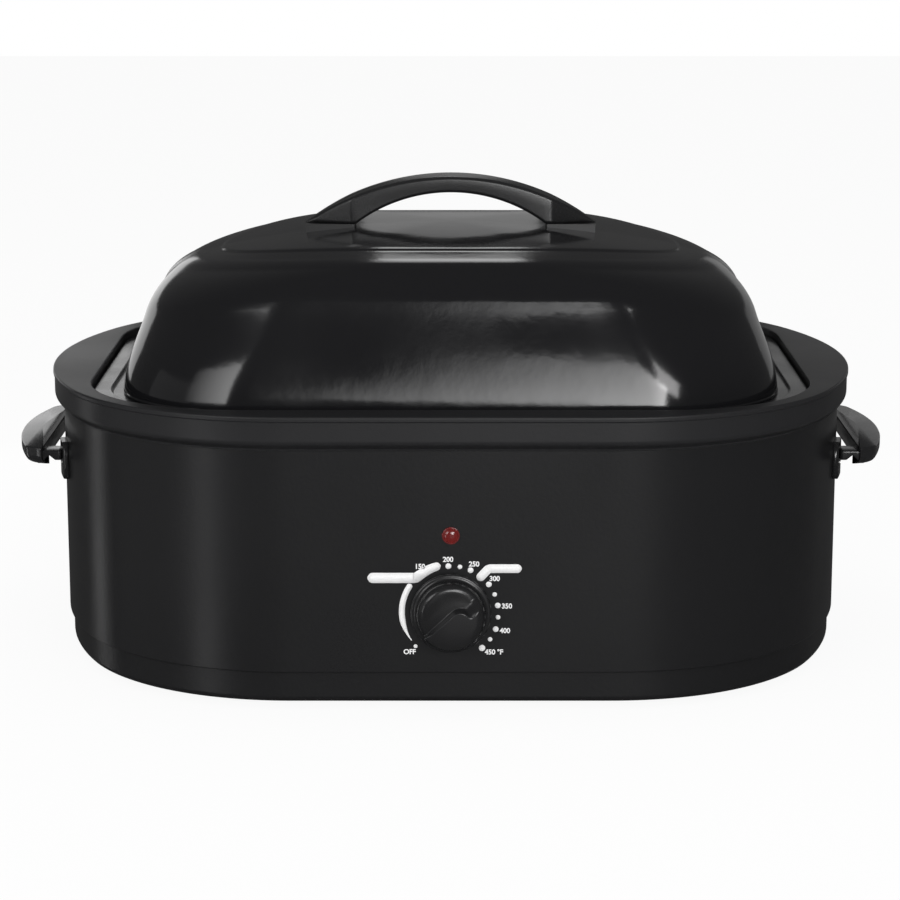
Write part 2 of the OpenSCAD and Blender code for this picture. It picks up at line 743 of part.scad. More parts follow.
// Closed wire loop round a rectangle with round corners
module wire_loop(l, d, r) {
    for (sx = [0, 1], sy = [0, 1]) mirror([sx, 0, 0]) mirror([0, sy, 0]) {
        translate([l - r, d - r, 0]) rotate_extrude(angle = 90, $fn = 64)
            translate([r, 0]) circle(wire_r, $fn = 24);
        translate([l, 0, 0]) rotate([-90, 0, 0]) cylinder(r = wire_r, h = d - r, $fn = 24);
        translate([0, d, 0]) rotate([0, 90, 0]) cylinder(r = wire_r, h = l - r, $fn = 24);
    }
}

module rack_frame() {
    color(steel) translate([0, body_y, rack_z]) wire_loop(rack_l, rack_d, rack_r);
}

// Half the length of a cross wire at x, to the middle of the frame's wire
function wire_half(x) = abs(x) < rack_l - rack_r ? rack_d
    : rack_d - rack_r + sqrt(rack_r * rack_r - pow(abs(x) - rack_l + rack_r, 2));
weld = 0.2;
wire_step = 2 * (rack_l - rack_end_gap) / (rack_wires - 1);
module rack_cross_wires() {
    mid = (rack_wires - 1) / 2;
    color(steel) translate([0, body_y, rack_z + wire_d - weld])
        for (k = [-mid:mid]) let (x = k * wire_step, h = wire_half(x))
            translate([x, -h, 0]) rod_y(wire_r, 2 * h);
}

// Two bent wires that stand on the flat of the pan's floor, under two cross wires
foot_y = opening_d / 2 - cavity_in - pan_draft - pan_floor_r - wire_d;
foot_wire_x = floor((rack_wires - 1) / 3) * wire_step;
module rack_feet() {
    bend = 3 * wire_r;
    top = rack_leg_h;
    color(steel) for (s = [-1, 1]) translate([s * foot_wire_x, body_y, pan_floor_z + body_gap + wire_r])
        for (m = [0, 1]) mirror([0, m, 0]) rotate([90, 0, 90]) {
            translate([foot_y, bend, 0]) cylinder_up(top - bend);
            translate([foot_y - bend, bend, 0]) rotate([0, 0, -90]) rotate_extrude(angle = 90, $fn = 48)
                translate([bend, 0]) circle(wire_r, $fn = 24);
            rotate([0, 90, 0]) cylinder(r = wire_r, h = foot_y - bend, $fn = 24);
        }
}
module cylinder_up(h) rotate([-90, 0, 0]) cylinder(r = wire_r, h = h, $fn = 24);

module rack_handles() {
    bend = 12;
    color(steel) translate([0, body_y, rack_z]) for (s = [-1, 1])
        translate([s * (rack_l - wire_d + weld), 0, 0]) rotate([0, 0, 90]) rotate([90, 0, 0]) {
            for (m = [0, 1]) mirror([m, 0, 0]) {
                translate([rack_handle_l / 2, rack_handle_h - bend, 0]) translate([-bend, 0, 0])
                    rotate_extrude(angle = 90, $fn = 48) translate([bend, 0]) circle(wire_r, $fn = 24);
                translate([rack_handle_l / 2, -wire_r, 0]) rotate([-90, 0, 0])
                    cylinder(r = wire_r, h = rack_handle_h - bend + wire_r, $fn = 24);
                translate([0, rack_handle_h, 0]) rotate([0, 90, 0])
                    cylinder(r = wire_r, h = rack_handle_l / 2 - bend, $fn = 24);
            }
        }
}

// ---- Lid ----

lid_z = seat_z + body_gap;
lid_l = opening_l / 2 - lid_in;
lid_d = opening_d / 2 - lid_in;

// Half section of the lid: a leaning side, a shoulder arc and a crown arc, each
// tangent to the next. Returns [out, up] at stations that match between sections.
side_steps = 2;
shoulder_steps = 6;
corner_growth = 1.6;
function half_section(half, h, lean, r1, r2) = let (
    along = [-sin(lean), cos(lean)], inward = [-cos(lean), -sin(lean)],
    crown = [0, h - r2], start = [half, 0] + r1 * inward, v = start - crown,
    s = -v * along + sqrt(pow(v * along, 2) - v * v + pow(r2 - r1, 2)),
    c = start + s * along, foot = c - r1 * inward,
    a1 = atan2(foot[1] - c[1], foot[0] - c[0]), a2 = atan2(c[1] - crown[1], c[0] - crown[0]))
    concat([for (i = [0:side_steps - 1]) [half, 0] + (foot - [half, 0]) * i / side_steps],
        arc(c, r1, a1, a2, shoulder_steps));

// Height of the crown at a distance from its middle
function crown_z(h, r, x) = h - r + sqrt(r * r - x * x);

// One ring of the lid: its ends follow one section and its front the other
function lid_ring(l, d, r, zl, zd) = let (q = rounded_quarter(l, d, min(r, l, d)))
    [for (p = whole(q)) let (w = pow(p[1] / d, 2)) [p[0], p[1], zl * (1 - w) + zd * w]];

// All rings of one face of the lid, from the rim to the crown
function lid_rings(t, panel_rise) = let (
    h = lid_h - t, rl = lid_long_crown_r - t, rd = lid_cross_crown_r - t,
    ends = half_section(lid_l - t, h, lid_lean, lid_end_shoulder_r - t, rl),
    fronts = half_section(lid_d - t, h, lid_lean, lid_front_shoulder_r - t, rd),
    n = len(ends) - 1, pl = ends[n][0] - panel_end_in, pd = fronts[n][0] - panel_side_in,
    crowns = concat([[pl + 2, pd + 2, 0]],
        [for (x = [pl, handle_foot_x, pad_in_x, pl * 0.04]) [x, x * pd / pl, panel_rise]]))
    concat([for (i = [0:len(ends) - 1]) let (l = ends[i][0], d = fronts[i][0],
            r = lid_corner_r - t + corner_growth * (1 - l / lid_l) * lid_d)
            lid_ring(l, d, r, ends[i][1], fronts[i][1])],
        [for (c = crowns) let (zl = crown_z(h, rl, c[0]) + c[2], zd = crown_z(h, rd, c[1]) + c[2])
            lid_ring(c[0], c[1], c[1], zl, zd)]);

crown_steps = 5;

// Solid whose top is the lid's crown with its raised panel
module crown_block() {
    outer = lid_rings(0, panel_h);
    n = len(outer);
    crown = [for (i = [n - crown_steps:n - 1]) outer[i]];
    skin(concat([lift(crown[0], 0)], crown));
}

bead = 0.8;
module lid_shell() {
    outer = lid_rings(0, panel_h);
    inner = lid_rings(lid_t, panel_h);
    color(enamel) translate([0, body_y, lid_z]) difference() {
        skin(concat([for (i = [len(inner) - 1:-1:0]) inner[i]],
            [lift(whole(rounded_quarter(lid_l + bead, lid_d + bead, lid_corner_r + bead)), 0)],
            [lift(whole(rounded_quarter(lid_l + bead, lid_d + bead, lid_corner_r + bead)), 1.8)],
            [for (i = [1:len(outer) - 1]) outer[i]]));
        for (s = [-1, 1]) translate([s * handle_screw_gap / 2, 0, lid_h - through])
            cylinder(r = screw_r + hole_play, h = 2 * through, $fn = 32);
    }
}

// Arched handle: one disc, with an eccentric round opening cut out of it
function chord(r, rise) = sqrt(r * r - pow(r - rise, 2));
handle_foot_x = chord(handle_outer_r, handle_rise);
pad_in_x = chord(handle_inner_r, handle_rise - handle_t);
handle_foot_z = lid_z + crown_z(lid_h, lid_long_crown_r, pad_in_x) + panel_h + handle_pad_t;
insert_r = 3.4;
insert_l = 8;
module lid_handle() {
    top = handle_foot_z + handle_rise;
    e = handle_edge_r;
    w = handle_w / 2;
    color(enamel) translate([0, body_y, 0]) difference() {
        translate([0, 0, top - handle_outer_r]) rotate([90, 0, 0]) rotate_extrude($fn = 360)
            polygon(concat([[0, -w]], arc([handle_outer_r - e, e - w], e, -90, 0, 5),
                arc([handle_outer_r - e, w - e], e, 0, 90, 5), [[0, w]]));
        translate([0, 0, top - handle_t - handle_inner_r]) rotate([90, 0, 0])
            cylinder(r = handle_inner_r, h = 2 * handle_w, center = true, $fn = 240);
        translate([-2 * handle_outer_r, -handle_w, handle_foot_z - 4 * handle_outer_r])
            cube([4 * handle_outer_r, 2 * handle_w, 4 * handle_outer_r]);
        for (s = [-1, 1]) translate([s * handle_screw_gap / 2, 0, handle_foot_z - 1])
            cylinder(r = insert_r, h = insert_l + 1, $fn = 32);
    }
}

// Pads between the handle's feet and the sloping crown, cut to lie on it
pad_side = 1;
pad_play = 0.05;
module lid_handle_pads() {
    x0 = pad_in_x + pad_side;
    l = handle_foot_x - pad_side - x0;
    w = handle_w - 2 * pad_side;
    color(enamel) translate([0, body_y, 0]) difference() {
        for (s = [-1, 1]) translate([s * (x0 + l / 2) - l / 2, -w / 2, lid_z + lid_h / 2])
            cube([l, w, handle_foot_z - lid_z - lid_h / 2]);
        translate([0, 0, lid_z + pad_play]) crown_block();
        for (s = [-1, 1]) translate([s * handle_screw_gap / 2, 0, lid_z])
            cylinder(r = screw_r + hole_play, h = 2 * lid_h, $fn = 32);
    }
}

module lid_handle_inserts() {
    color(brass) translate([0, body_y, handle_foot_z]) for (s = [-1, 1])
        translate([s * handle_screw_gap / 2, 0, 0]) difference() {
            cylinder(r = insert_r, h = insert_l, $fn = 32);
            translate([0, 0, -1]) cylinder(r = screw_r, h = insert_l - 1, $fn = 32);
        }
}

// Height of the lid's underside on its long axis, between the rings at a foot's ends
function under_foot(x) = lid_z + panel_h + lookup(x, [for (e = [pad_in_x, handle_foot_x])
    [e, crown_z(lid_h - lid_t, lid_long_crown_r - lid_t, e)]]);

module lid_handle_screws() {
    x = handle_screw_gap / 2;
    under = under_foot(x + screw_head_r) - pad_play;
    tip = handle_foot_z + insert_l - 3;
    color(steel) translate([0, body_y, 0]) for (s = [-1, 1]) translate([s * x, 0, under]) {
        translate([0, 0, -screw_head_h]) cylinder(r = screw_head_r, h = screw_head_h, $fn = 32);
        cylinder(r = screw_r, h = tip - under, $fn = 32);
    }
}

body_shell();
rim_collar();
base_tray();
rubber_feet();
foot_screws();
heating_well();
tie_stud();
tie_nut();
insulation_blanket();
heater_bands();
thermostat_body();
thermostat_bracket();
thermostat_screws();
terminal_block();
terminal_screws();
indicator_lens();
lens_retainer();
lamp_bulb();
cord_gland();
side_handle_left();
side_handle_right();
side_handle_screws();
control_knob();
thermostat_shaft();
roasting_pan();
rack_frame();
rack_cross_wires();
rack_handles();
rack_feet();
lid_shell();
lid_handle();
lid_handle_pads();
lid_handle_inserts();
lid_handle_screws();
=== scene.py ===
"""Looks of an oval electric roaster oven, laid out as an add-on.

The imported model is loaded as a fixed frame. Each operator makes the finished
surfaces of one piece or group, or the finishes of pieces that keep their own
shape, and one makes the floor, the light and the camera.
"""
import math

import bpy
import numpy as np
from bpy.props import FloatProperty, FloatVectorProperty, PointerProperty
from bpy.types import Operator, Panel, PropertyGroup
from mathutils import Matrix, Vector


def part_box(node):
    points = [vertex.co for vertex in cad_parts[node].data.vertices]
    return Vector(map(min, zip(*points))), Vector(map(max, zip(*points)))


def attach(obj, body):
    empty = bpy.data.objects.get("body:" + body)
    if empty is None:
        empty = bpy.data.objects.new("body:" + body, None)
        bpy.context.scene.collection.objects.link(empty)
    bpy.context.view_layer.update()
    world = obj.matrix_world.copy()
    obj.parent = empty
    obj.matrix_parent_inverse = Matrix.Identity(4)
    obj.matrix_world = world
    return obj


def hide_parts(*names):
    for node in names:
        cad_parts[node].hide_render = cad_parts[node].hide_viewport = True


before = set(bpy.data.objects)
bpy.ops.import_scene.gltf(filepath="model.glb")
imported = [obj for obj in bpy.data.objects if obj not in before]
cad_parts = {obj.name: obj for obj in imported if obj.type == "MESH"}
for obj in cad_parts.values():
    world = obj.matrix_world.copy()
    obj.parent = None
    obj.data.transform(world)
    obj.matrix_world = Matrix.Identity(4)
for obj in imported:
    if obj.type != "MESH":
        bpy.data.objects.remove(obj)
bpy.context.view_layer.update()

bl_info = {
    "name": "Roaster oven looks",
    "version": (1, 0, 0),
    "blender": (4, 5, 0),
    "location": "View3D > Sidebar > Roaster",
    "description": "Finished surfaces, finishes, floor and light of an oval roaster oven",
    "category": "Add Mesh",
}

COLLAR_LOW, COLLAR_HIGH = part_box("rim_collar")
SHELL_LOW, SHELL_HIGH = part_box("body_shell")
TRAY_LOW, TRAY_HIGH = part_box("base_tray")
PAN_LOW, PAN_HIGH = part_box("roasting_pan")
WELL_LOW, WELL_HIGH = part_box("heating_well")
LID_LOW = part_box("lid_shell")[0]
KNOB_LOW, KNOB_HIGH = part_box("control_knob")
LENS_LOW, LENS_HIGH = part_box("indicator_lens")
HANDLE_LOW, HANDLE_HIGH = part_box("lid_handle")
EAR_LOW, EAR_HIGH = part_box("side_handle_right")
MIDDLE_Y = (COLLAR_LOW.y + COLLAR_HIGH.y) / 2
DIAL_Z = (KNOB_LOW.z + KNOB_HIGH.z) / 2
PANEL_Y = SHELL_LOW.y
EAR_TOP_Z = COLLAR_HIGH.z - 0.050
MM = 0.001
QUARTER = math.pi / 2
SUPPORT = 0.0003  # from an arc's end to the point that keeps the flat beside it flat
FILM = 0.00006  # thickness of the printed ink
SIDE_BULGE = 0.0020  # bulge of the lid's side
STEP_W = 0.0050  # width of the slope round the lid's raised panel


# ---- Sizes and colours that a user would change ----

def length(name, description, default):
    return FloatProperty(name=name, description=description, default=default,
                         subtype="DISTANCE", unit="LENGTH")


def degrees(name, description, default):
    return FloatProperty(name=name, description=description, default=math.radians(default),
                         subtype="ANGLE", unit="ROTATION")


def colour(name, description, default):
    return FloatVectorProperty(name=name, description=description, default=default,
                               subtype="COLOR", size=3, min=0.0, max=1.0)


class CasingSizes(PropertyGroup):
    collar_l: length("Collar length", "Length of the collar", COLLAR_HIGH.x - COLLAR_LOW.x)
    collar_d: length("Collar depth", "Depth of the collar", COLLAR_HIGH.y - COLLAR_LOW.y)
    front_flat: length("Front run", "Straight run in the middle of the front", 0.210)
    end_r: length("End radius", "Radius of the curved left and right ends", 0.300)
    sheet_t: length("Sheet", "Thickness of the casing's sheet", 0.0006)
    collar_t: length("Collar sheet", "Thickness of the collar's sheet", 0.0012)
    hem_w: length("Hem", "Width of the hem at the shell's lower edge", 0.0036)
    lip_h: length("Lip height", "Height of the lip round the collar's top edge", 0.003)
    opening_l: length("Opening length", "Length of the opening in the collar", 0.489)
    opening_d: length("Opening depth", "Depth of the opening in the collar", 0.390)
    opening_r: length("Opening corner", "Corner radius of the opening", 0.108)
    corner_draw: length("Corner draw", "How much smaller the lid's corner radius is", 0.016)


class PanSizes(PropertyGroup):
    gap: length("Gap", "Gap between the opening and the pan's rim", 0.0012)
    rim_w: length("Rim", "Width of the pan's flat rim", 0.012)
    seat_w: length("Seat", "Width of the lid's seat", 0.014)
    step: length("Step", "Depth from the rim down to the seat", 0.0025)
    steel_t: length("Steel", "Thickness of the pan's steel", 0.0008)
    draft: length("Draft", "How much narrower the pan is at its floor", 0.006)
    floor_r: length("Floor radius", "Radius between the pan's wall and its floor", 0.022)
    well_gap: length("Well gap", "Gap between the pan and the well", 0.004)


class LidSizes(PropertyGroup):
    height: length("Height", "Height of the lid above its rim", 0.1035)
    gap: length("Gap", "Gap between the lid and the pan's flat rim", 0.008)
    lean: degrees("Lean", "Lean of the lid's side", 15)
    end_shoulder_r: length("End shoulder", "Shoulder radius over the ends", 0.052)
    front_shoulder_r: length("Front shoulder", "Shoulder radius over the front", 0.034)
    long_crown_r: length("Long crown", "Crown radius along the lid", 0.780)
    cross_crown_r: length("Cross crown", "Crown radius across the lid", 1.000)
    steel_t: length("Steel", "Thickness of the lid's steel", 0.0008)
    panel_h: length("Panel height", "Height of the raised oval panel", 0.0012)


class ControlSizes(PropertyGroup):
    grip_r: length("Grip", "Radius of the knob's grip", 0.0222)
    skirt_t: length("Skirt", "Thickness of the knob's skirt", 0.005)
    edge_r: length("Edge", "Rounding of the grip's edge", 0.006)
    scoop: length("Scoop", "Depth of the finger scoop beside the pointer", 0.0065)
    off_angle: degrees("Off", "Angle from straight up to the pointer when it is off", 133.4)
    dots_r: length("Dots", "Radius of the circle of printed dots", 0.0307)
    figure_h: length("Figures", "Height of the printed figures", 0.0034)


class HandleSizes(PropertyGroup):
    outer_r: length("Outer arc", "Radius of the lid handle's outer arc", 0.174)
    inner_r: length("Inner arc", "Radius of the lid handle's inner arc", 0.111)
    thick: length("Thickness", "Thickness of the lid handle at its top", 0.0112)
    edge_r: length("Edge", "Rounding of the lid handle's upper edges", 0.0026)
    ear_in: length("Ear gap", "From the shell to a side handle's inner edge", 0.008)
    ear_t: length("Ear thickness", "Thickness of a side handle", 0.0126)
    ear_round: length("Ear rounding", "Rounding of its lower outer edge", 0.007)
    arm_w: length("Arm width", "Width of each arm that carries a side handle", 0.018)


class Finishes(PropertyGroup):
    paint: colour("Stove paint", "Satin black of the casing", (0.0105, 0.0105, 0.0112))
    enamel: colour("Enamel", "Glossy black of the lid and the pan", (0.008, 0.008, 0.0088))
    plastic: colour("Plastic", "Black of the moulded handles", (0.012, 0.012, 0.0126))
    ink: colour("Ink", "White of the printed marks", (0.86, 0.86, 0.86))
    lens: colour("Lens", "Red of the lamp's lens", (0.17, 0.014, 0.013))
    floor: colour("Floor", "Pale floor and backdrop", (0.86, 0.86, 0.86))


def settings(context, *names):
    """The scene's property groups of these names."""
    return [getattr(context.scene, "roaster_" + name) for name in names]


# ---- Surfaces ----

def chain(*parts, axis=0):
    """Arrays joined along an axis."""
    return np.concatenate(parts, axis)


def coords(*parts):
    """Points [..., k] from their k coordinates, which broadcast against one another."""
    return np.stack(np.broadcast_arrays(*parts), -1)


def unit(v):
    return v / np.linalg.norm(v, axis=-1, keepdims=True)


def smooth(x, low, high):
    """0 below low, 1 above high and 3 s^2 - 2 s^3 between them."""
    s = np.clip((x - low) / (high - low), 0, 1)
    return s * s * (3 - 2 * s)


def grid_faces(rows, cols, wrap_rows):
    """Quads between neighbouring rows of a grid whose rows are closed rings."""
    r = np.arange(rows if wrap_rows else rows - 1)[:, None]
    c = np.arange(cols)
    r1, c1 = (r + 1) % rows, (c + 1) % cols
    return coords(r * cols + c, r * cols + c1, r1 * cols + c1, r1 * cols + c).reshape(-1, 4)


def turned_out(points, quads, tris):
    """The faces, turned round if their volume, the sum of a . (b x c) / 6, is negative."""
    cut = chain(quads[:, [0, 1, 2]], quads[:, [0, 2, 3]], tris)
    a, b, c = (points[cut[:, k]] for k in range(3))
    way = -1 if np.einsum("ij,ij->i", a, np.cross(b, c)).sum() < 0 else 1
    return points, quads[:, ::way], tris[:, ::way]


def tube(rings):
    """Closed surface over a grid of rings [row, around, xyz] whose last row meets the first."""
    rows, cols = rings.shape[:2]
    return turned_out(rings.reshape(-1, 3), grid_faces(rows, cols, True), np.zeros((0, 3), int))


def capped(rings):
    """Closed surface over a grid of rings, with a fan about its middle over each end ring."""
    rows, cols = rings.shape[:2]
    points = chain(rings.reshape(-1, 3), [rings[0].mean(0), rings[-1].mean(0)])
    i = np.arange(cols)
    j = (i + 1) % cols
    end = (rows - 1) * cols
    fans = chain(coords(j, i, rows * cols), coords(i + end, j + end, rows * cols + 1))
    return turned_out(points, grid_faces(rows, cols, False), fans)


def rounded(corners, steps=5, closed=False):
    """Profile through corners (across, up, radius), each rounded by an exact arc.

    An arc is the conic ((1-s)^2 a + 2 s (1-s) w p + s^2 b) / ((1-s)^2 + 2 s (1-s) w + s^2)
    from a to b round the corner p, with w the cosine of half the turn. A support point
    stands just outside each of its ends.
    """
    data = np.asarray(corners, float)
    bent = slice(None) if closed else slice(1, -1)
    p, r = data[bent, :2], data[bent, 2:]
    u = unit((np.roll(data, 1, 0) - data)[bent, :2])
    v = unit((np.roll(data, -1, 0) - data)[bent, :2])
    half = np.arccos(np.clip((u * v).sum(1), -1, 1)) / 2
    reach = r / np.tan(half)[:, None]
    a, b = p + u * reach, p + v * reach
    w = np.sin(half)[:, None, None]
    s = np.linspace(0, 1, steps + 1)[None, :, None]
    top = (1 - s) ** 2 * a[:, None] + 2 * s * (1 - s) * w * p[:, None] + s ** 2 * b[:, None]
    arcs = top / ((1 - s) ** 2 + 2 * s * (1 - s) * w + s ** 2)
    path = chain((a + u * SUPPORT)[:, None], arcs, (b + v * SUPPORT)[:, None], axis=1).reshape(-1, 2)
    return path if closed else chain(data[:1, :2], path, data[-1:, :2])


def whole_ring(quarter):
    """Full rings from quarters [..., k, 2] that run from the +X axis to the +Y axis."""
    back = quarter[..., ::-1, :]
    parts = [quarter, back * [-1, 1], quarter * [-1, -1], back * [1, -1]]
    return chain(*(part[..., :-1, :] for part in parts), axis=-2)


def casing_rings(context, insets):
    """Parallel rings of the casing's outline: an end arc, a corner arc and a straight run.

    The corner arc touches the end arc of radius R and the front at depth d, with its middle
    e beyond the end arc's: its radius is (R^2 - e^2 - d^2) / (2 (R - d)).
    """
    size = context.scene.roaster_casing
    ends, corners, run = 18, 31, 12
    half_l, half_d, flat = size.collar_l / 2, size.collar_d / 2, size.front_flat / 2
    end_x = half_l - size.end_r
    radius = (size.end_r ** 2 - (flat - end_x) ** 2 - half_d ** 2) / (2 * (size.end_r - half_d))
    corner_y = half_d - radius
    join = math.atan2(corner_y, flat - end_x)
    turn = chain(np.linspace(0, join, ends, endpoint=False),
                 np.linspace(join, QUARTER, corners), np.full(run, QUARTER))
    middle_x = chain(np.full(ends, end_x), np.full(corners, flat), np.linspace(flat, 0, run + 1)[1:])
    middle_y = np.repeat([0, corner_y], [ends, corners + run])
    reach = np.repeat([size.end_r, radius], [ends, corners + run]) - insets[:, None]
    return whole_ring(coords(middle_x + reach * np.cos(turn), middle_y + reach * np.sin(turn)))


def rounded_box_rings(half_l, half_d, radius):
    """Rings of rectangles with round corners, one for each entry of the three arrays."""
    side, corners, front = 14, 35, 12
    half_l, half_d, radius = (v[:, None] for v in (half_l, half_d, radius))
    turn = chain(np.zeros(side), np.linspace(0, QUARTER, corners), np.full(front, QUARTER))
    rise = chain(np.linspace(0, 1, side, endpoint=False), np.ones(corners + front))
    run = chain(np.ones(side + corners), np.linspace(1, 0, front + 1)[1:])
    return whole_ring(coords((half_l - radius) * run + radius * np.cos(turn),
                             (half_d - radius) * rise + radius * np.sin(turn)))


def nest_rings(context, insets):
    """Rings inside the opening, whose corner radius shrinks slowly towards the lid's rim."""
    size, pan, lid = settings(context, "casing", "pan", "lid")
    radius = size.opening_r - size.corner_draw * insets / (pan.gap + pan.rim_w + lid.gap)
    return rounded_box_rings(size.opening_l / 2 - insets, size.opening_d / 2 - insets, radius)


def carried(context, outline, section):
    """A section [row, (inset, height)] carried round an outline, about the casing's middle."""
    rings = outline(context, section[:, 0])
    return coords(rings[..., 0], rings[..., 1] + MIDDLE_Y, section[:, 1:])


def turned(profile, x, z, around):
    """Closed surface of a profile (radius, out) turned about the line along -Y through (x, z)."""
    turn = np.linspace(0, 2 * math.pi, around, endpoint=False)
    radius, out = np.asarray(profile, float).T[:, :, None]
    return capped(coords(x + radius * np.cos(turn), PANEL_Y - out, z + radius * np.sin(turn)))


def box_sections(low, high, left, right, radius, steps=4):
    """Sides and heights [row, around] of rectangles with round corners, one per entry.

    A corner's points are its middle plus radius times (cos, sin) of its quarter's angles.
    """
    low, high, left, right, radius = (v[:, None, None] for v in
                                      np.broadcast_arrays(low, high, left, right, radius))
    turn = np.linspace(0, QUARTER, steps + 1) + np.arange(4)[:, None] * QUARTER
    side, up = np.array([[1, -1, -1, 1], [1, 1, -1, -1]])[..., None]
    sides = (left + right) / 2 + side * ((right - left) / 2 - radius) + radius * np.cos(turn)
    heights = (low + high) / 2 + up * ((high - low) / 2 - radius) + radius * np.sin(turn)
    return sides.reshape(len(low), -1), heights.reshape(len(low), -1)


def ribbon(path, width, ends=0.5):
    """Flat mark along a path [row, (x, z)], a film of ink proud of the front.

    Its half width at a length s from the start is width / 2, drawn in over both ends by
    sqrt(1 - (1 - s / h)^2), where h is the width there times ends.
    """
    s = chain([0], np.cumsum(np.linalg.norm(np.diff(path, axis=0), axis=1)))
    width = np.broadcast_to(width, s.shape)
    near = np.clip(np.minimum(s / (width[0] * ends), (s[-1] - s) / (width[-1] * ends)), 0.02, 1)
    ahead = np.gradient(path, axis=0)
    side = unit(coords(-ahead[:, 1], ahead[:, 0])) * (width / 2 * np.sqrt(1 - (1 - near) ** 2))[:, None]
    a, b = path + side, path - side
    x, z = np.moveaxis(np.stack([a, b, b, a], 1), -1, 0)
    return capped(coords(x, PANEL_Y - FILM * np.array([1, 1, 0, 0]), z))


# ---- Pieces ----

def placed(name, data):
    """An object of this data, linked to the scene."""
    obj = bpy.data.objects.new(name, data)
    bpy.context.scene.collection.objects.link(obj)
    return obj


def mesh_of(name, parts):
    """One mesh of several closed surfaces (points, quads, triangles)."""
    first = np.cumsum([0] + [len(part[0]) for part in parts])
    points = chain(*(part[0] for part in parts))
    quads, tris = (chain(*(part[k] + i for part, i in zip(parts, first))) for k in (1, 2))
    mesh = bpy.data.meshes.new(name)
    mesh.vertices.add(len(points))
    mesh.vertices.foreach_set("co", points.astype(np.float32).ravel())
    loops = chain(quads.ravel(), tris.ravel())
    starts = chain(np.arange(len(quads)) * 4, 4 * len(quads) + np.arange(len(tris)) * 3)
    mesh.loops.add(len(loops))
    mesh.loops.foreach_set("vertex_index", loops.astype(np.int32))
    mesh.polygons.add(len(starts))
    mesh.polygons.foreach_set("loop_start", starts.astype(np.int32))
    mesh.polygons.foreach_set("use_smooth", np.ones(len(starts), bool))
    mesh.update(calc_edges=True)
    mesh.validate()
    return mesh


def piece(name, parts, material, body, slot, *nodes):
    """A piece of the object: its mesh, its finish, the body it rides on and what it replaces."""
    obj = placed(name, mesh_of(name, parts))
    obj.data.materials.append(material)
    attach(obj, body)
    if nodes:
        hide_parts(*nodes)


def finish_node(node, material):
    """Puts a material on a node that keeps its own shape."""
    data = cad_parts[node].data
    data.materials.clear()
    data.materials.append(material)


# ---- Shader maths ----

class Value:
    """An output socket. Python's operators on it add Math nodes."""

    def __init__(self, nodes, socket):
        self.nodes = nodes
        self.socket = socket

    def __add__(self, other):
        return self.nodes.maths("ADD", self, other)

    def __sub__(self, other):
        return self.nodes.maths("SUBTRACT", self, other)

    def __rsub__(self, other):
        return self.nodes.maths("SUBTRACT", other, self)

    def __mul__(self, other):
        return self.nodes.maths("MULTIPLY", self, other)


class Nodes:
    """A node tree being built."""

    def __init__(self, tree):
        self.tree = tree

    def feed(self, socket, value):
        """Links a Value to an input socket, or sets the socket to a plain value."""
        if isinstance(value, Value):
            self.tree.links.new(value.socket, socket)
        else:
            socket.default_value = value

    def node(self, kind, inputs, output=0, **options):
        """One node of any kind, with values or links for its inputs: one of its outputs."""
        node = self.tree.nodes.new("ShaderNode" + kind)
        for key, value in options.items():
            setattr(node, key, value)
        for key, value in inputs.items():
            self.feed(node.inputs[key], value)
        return Value(self, node.outputs[output]) if node.outputs else None

    def maths(self, operation, a, b):
        return self.node("Math", {0: a, 1: b}, operation=operation)

    def between(self, low, high, factor):
        """low to high as factor goes from 0 to 1."""
        return self.node("MapRange", {"Value": factor, "To Min": low, "To Max": high})


class Finish(Nodes):
    """A material being built from nodes."""

    def __init__(self, name):
        self.material = bpy.data.materials.new(name)
        self.material.use_nodes = True
        super().__init__(self.material.node_tree)
        self.tree.nodes.clear()
        self.place = self.node("TexCoord", {}, "Object")

    def noise(self, per_metre, detail=2.0, stretch=None):
        """Noise of the place, whose height may count several times over."""
        place = self.place
        if stretch:
            place = self.node("Mapping", {"Vector": place, "Scale": (1, 1, stretch)})
        return self.node("TexNoise", {"Vector": place, "Scale": per_metre, "Detail": detail})

    def texture(self, kind, per_metre, output=0, **options):
        return self.node("Tex" + kind, {"Vector": self.place, "Scale": per_metre}, output, **options)

    def spread(self, value, from_low, from_high, low=0.0, high=1.0):
        """low to high as value goes from from_low to from_high."""
        return self.node("MapRange", {"Value": value, "From Min": from_low, "From Max": from_high,
                                      "To Min": low, "To Max": high})

    def mixed(self, factor, a, b):
        """Colour a to colour b."""
        return self.node("Mix", {0: factor, 6: a, 7: b}, 2, data_type="RGBA")

    def bump(self, height, strength, distance, under=None):
        inputs = {"Height": height, "Strength": strength, "Distance": distance}
        if under:
            inputs["Normal"] = under
        return self.node("Bump", inputs)

    def surface(self, tint, rough, normal, **more):
        """The closing shader. Further keys are its inputs' names with _ for a space."""
        inputs = {"Base Color": tint, "Roughness": rough, "Normal": normal}
        inputs.update({key.replace("_", " "): value for key, value in more.items()})
        return self.close(self.node("BsdfPrincipled", inputs))

    def close(self, shader):
        self.node("OutputMaterial", {"Surface": shader})
        return self.material


def rgba(shade, times=1.0):
    return tuple(c * times for c in shade[:3]) + (1.0,)


def stove_paint(name, shade, sheen=0.30, body=1.0):
    """Satin baked paint: fine orange peel, a slow drift of gloss and a fine grain. A body above 1 makes
    a lighter copy of the same paint, which is painted light.
    """
    f = Finish(name)
    drift, peel, grain = f.noise(9, 3), f.noise(420), f.noise(2600, 1)
    rough = f.spread(drift, 0.3, 0.7, sheen - 0.025, sheen + 0.03) + (grain - 0.5) * 0.05
    # body multiplies the colour: above 1 it is painted light, a lit copy of the same black paint
    tint = f.mixed(drift, rgba(shade, 0.92 * body), rgba(shade, 1.1 * body))
    normal = f.bump(grain, 0.10, 0.0001, f.bump(peel, 0.16, 0.0004))
    return f.surface(tint, rough, normal, Specular_IOR_Level=0.3)


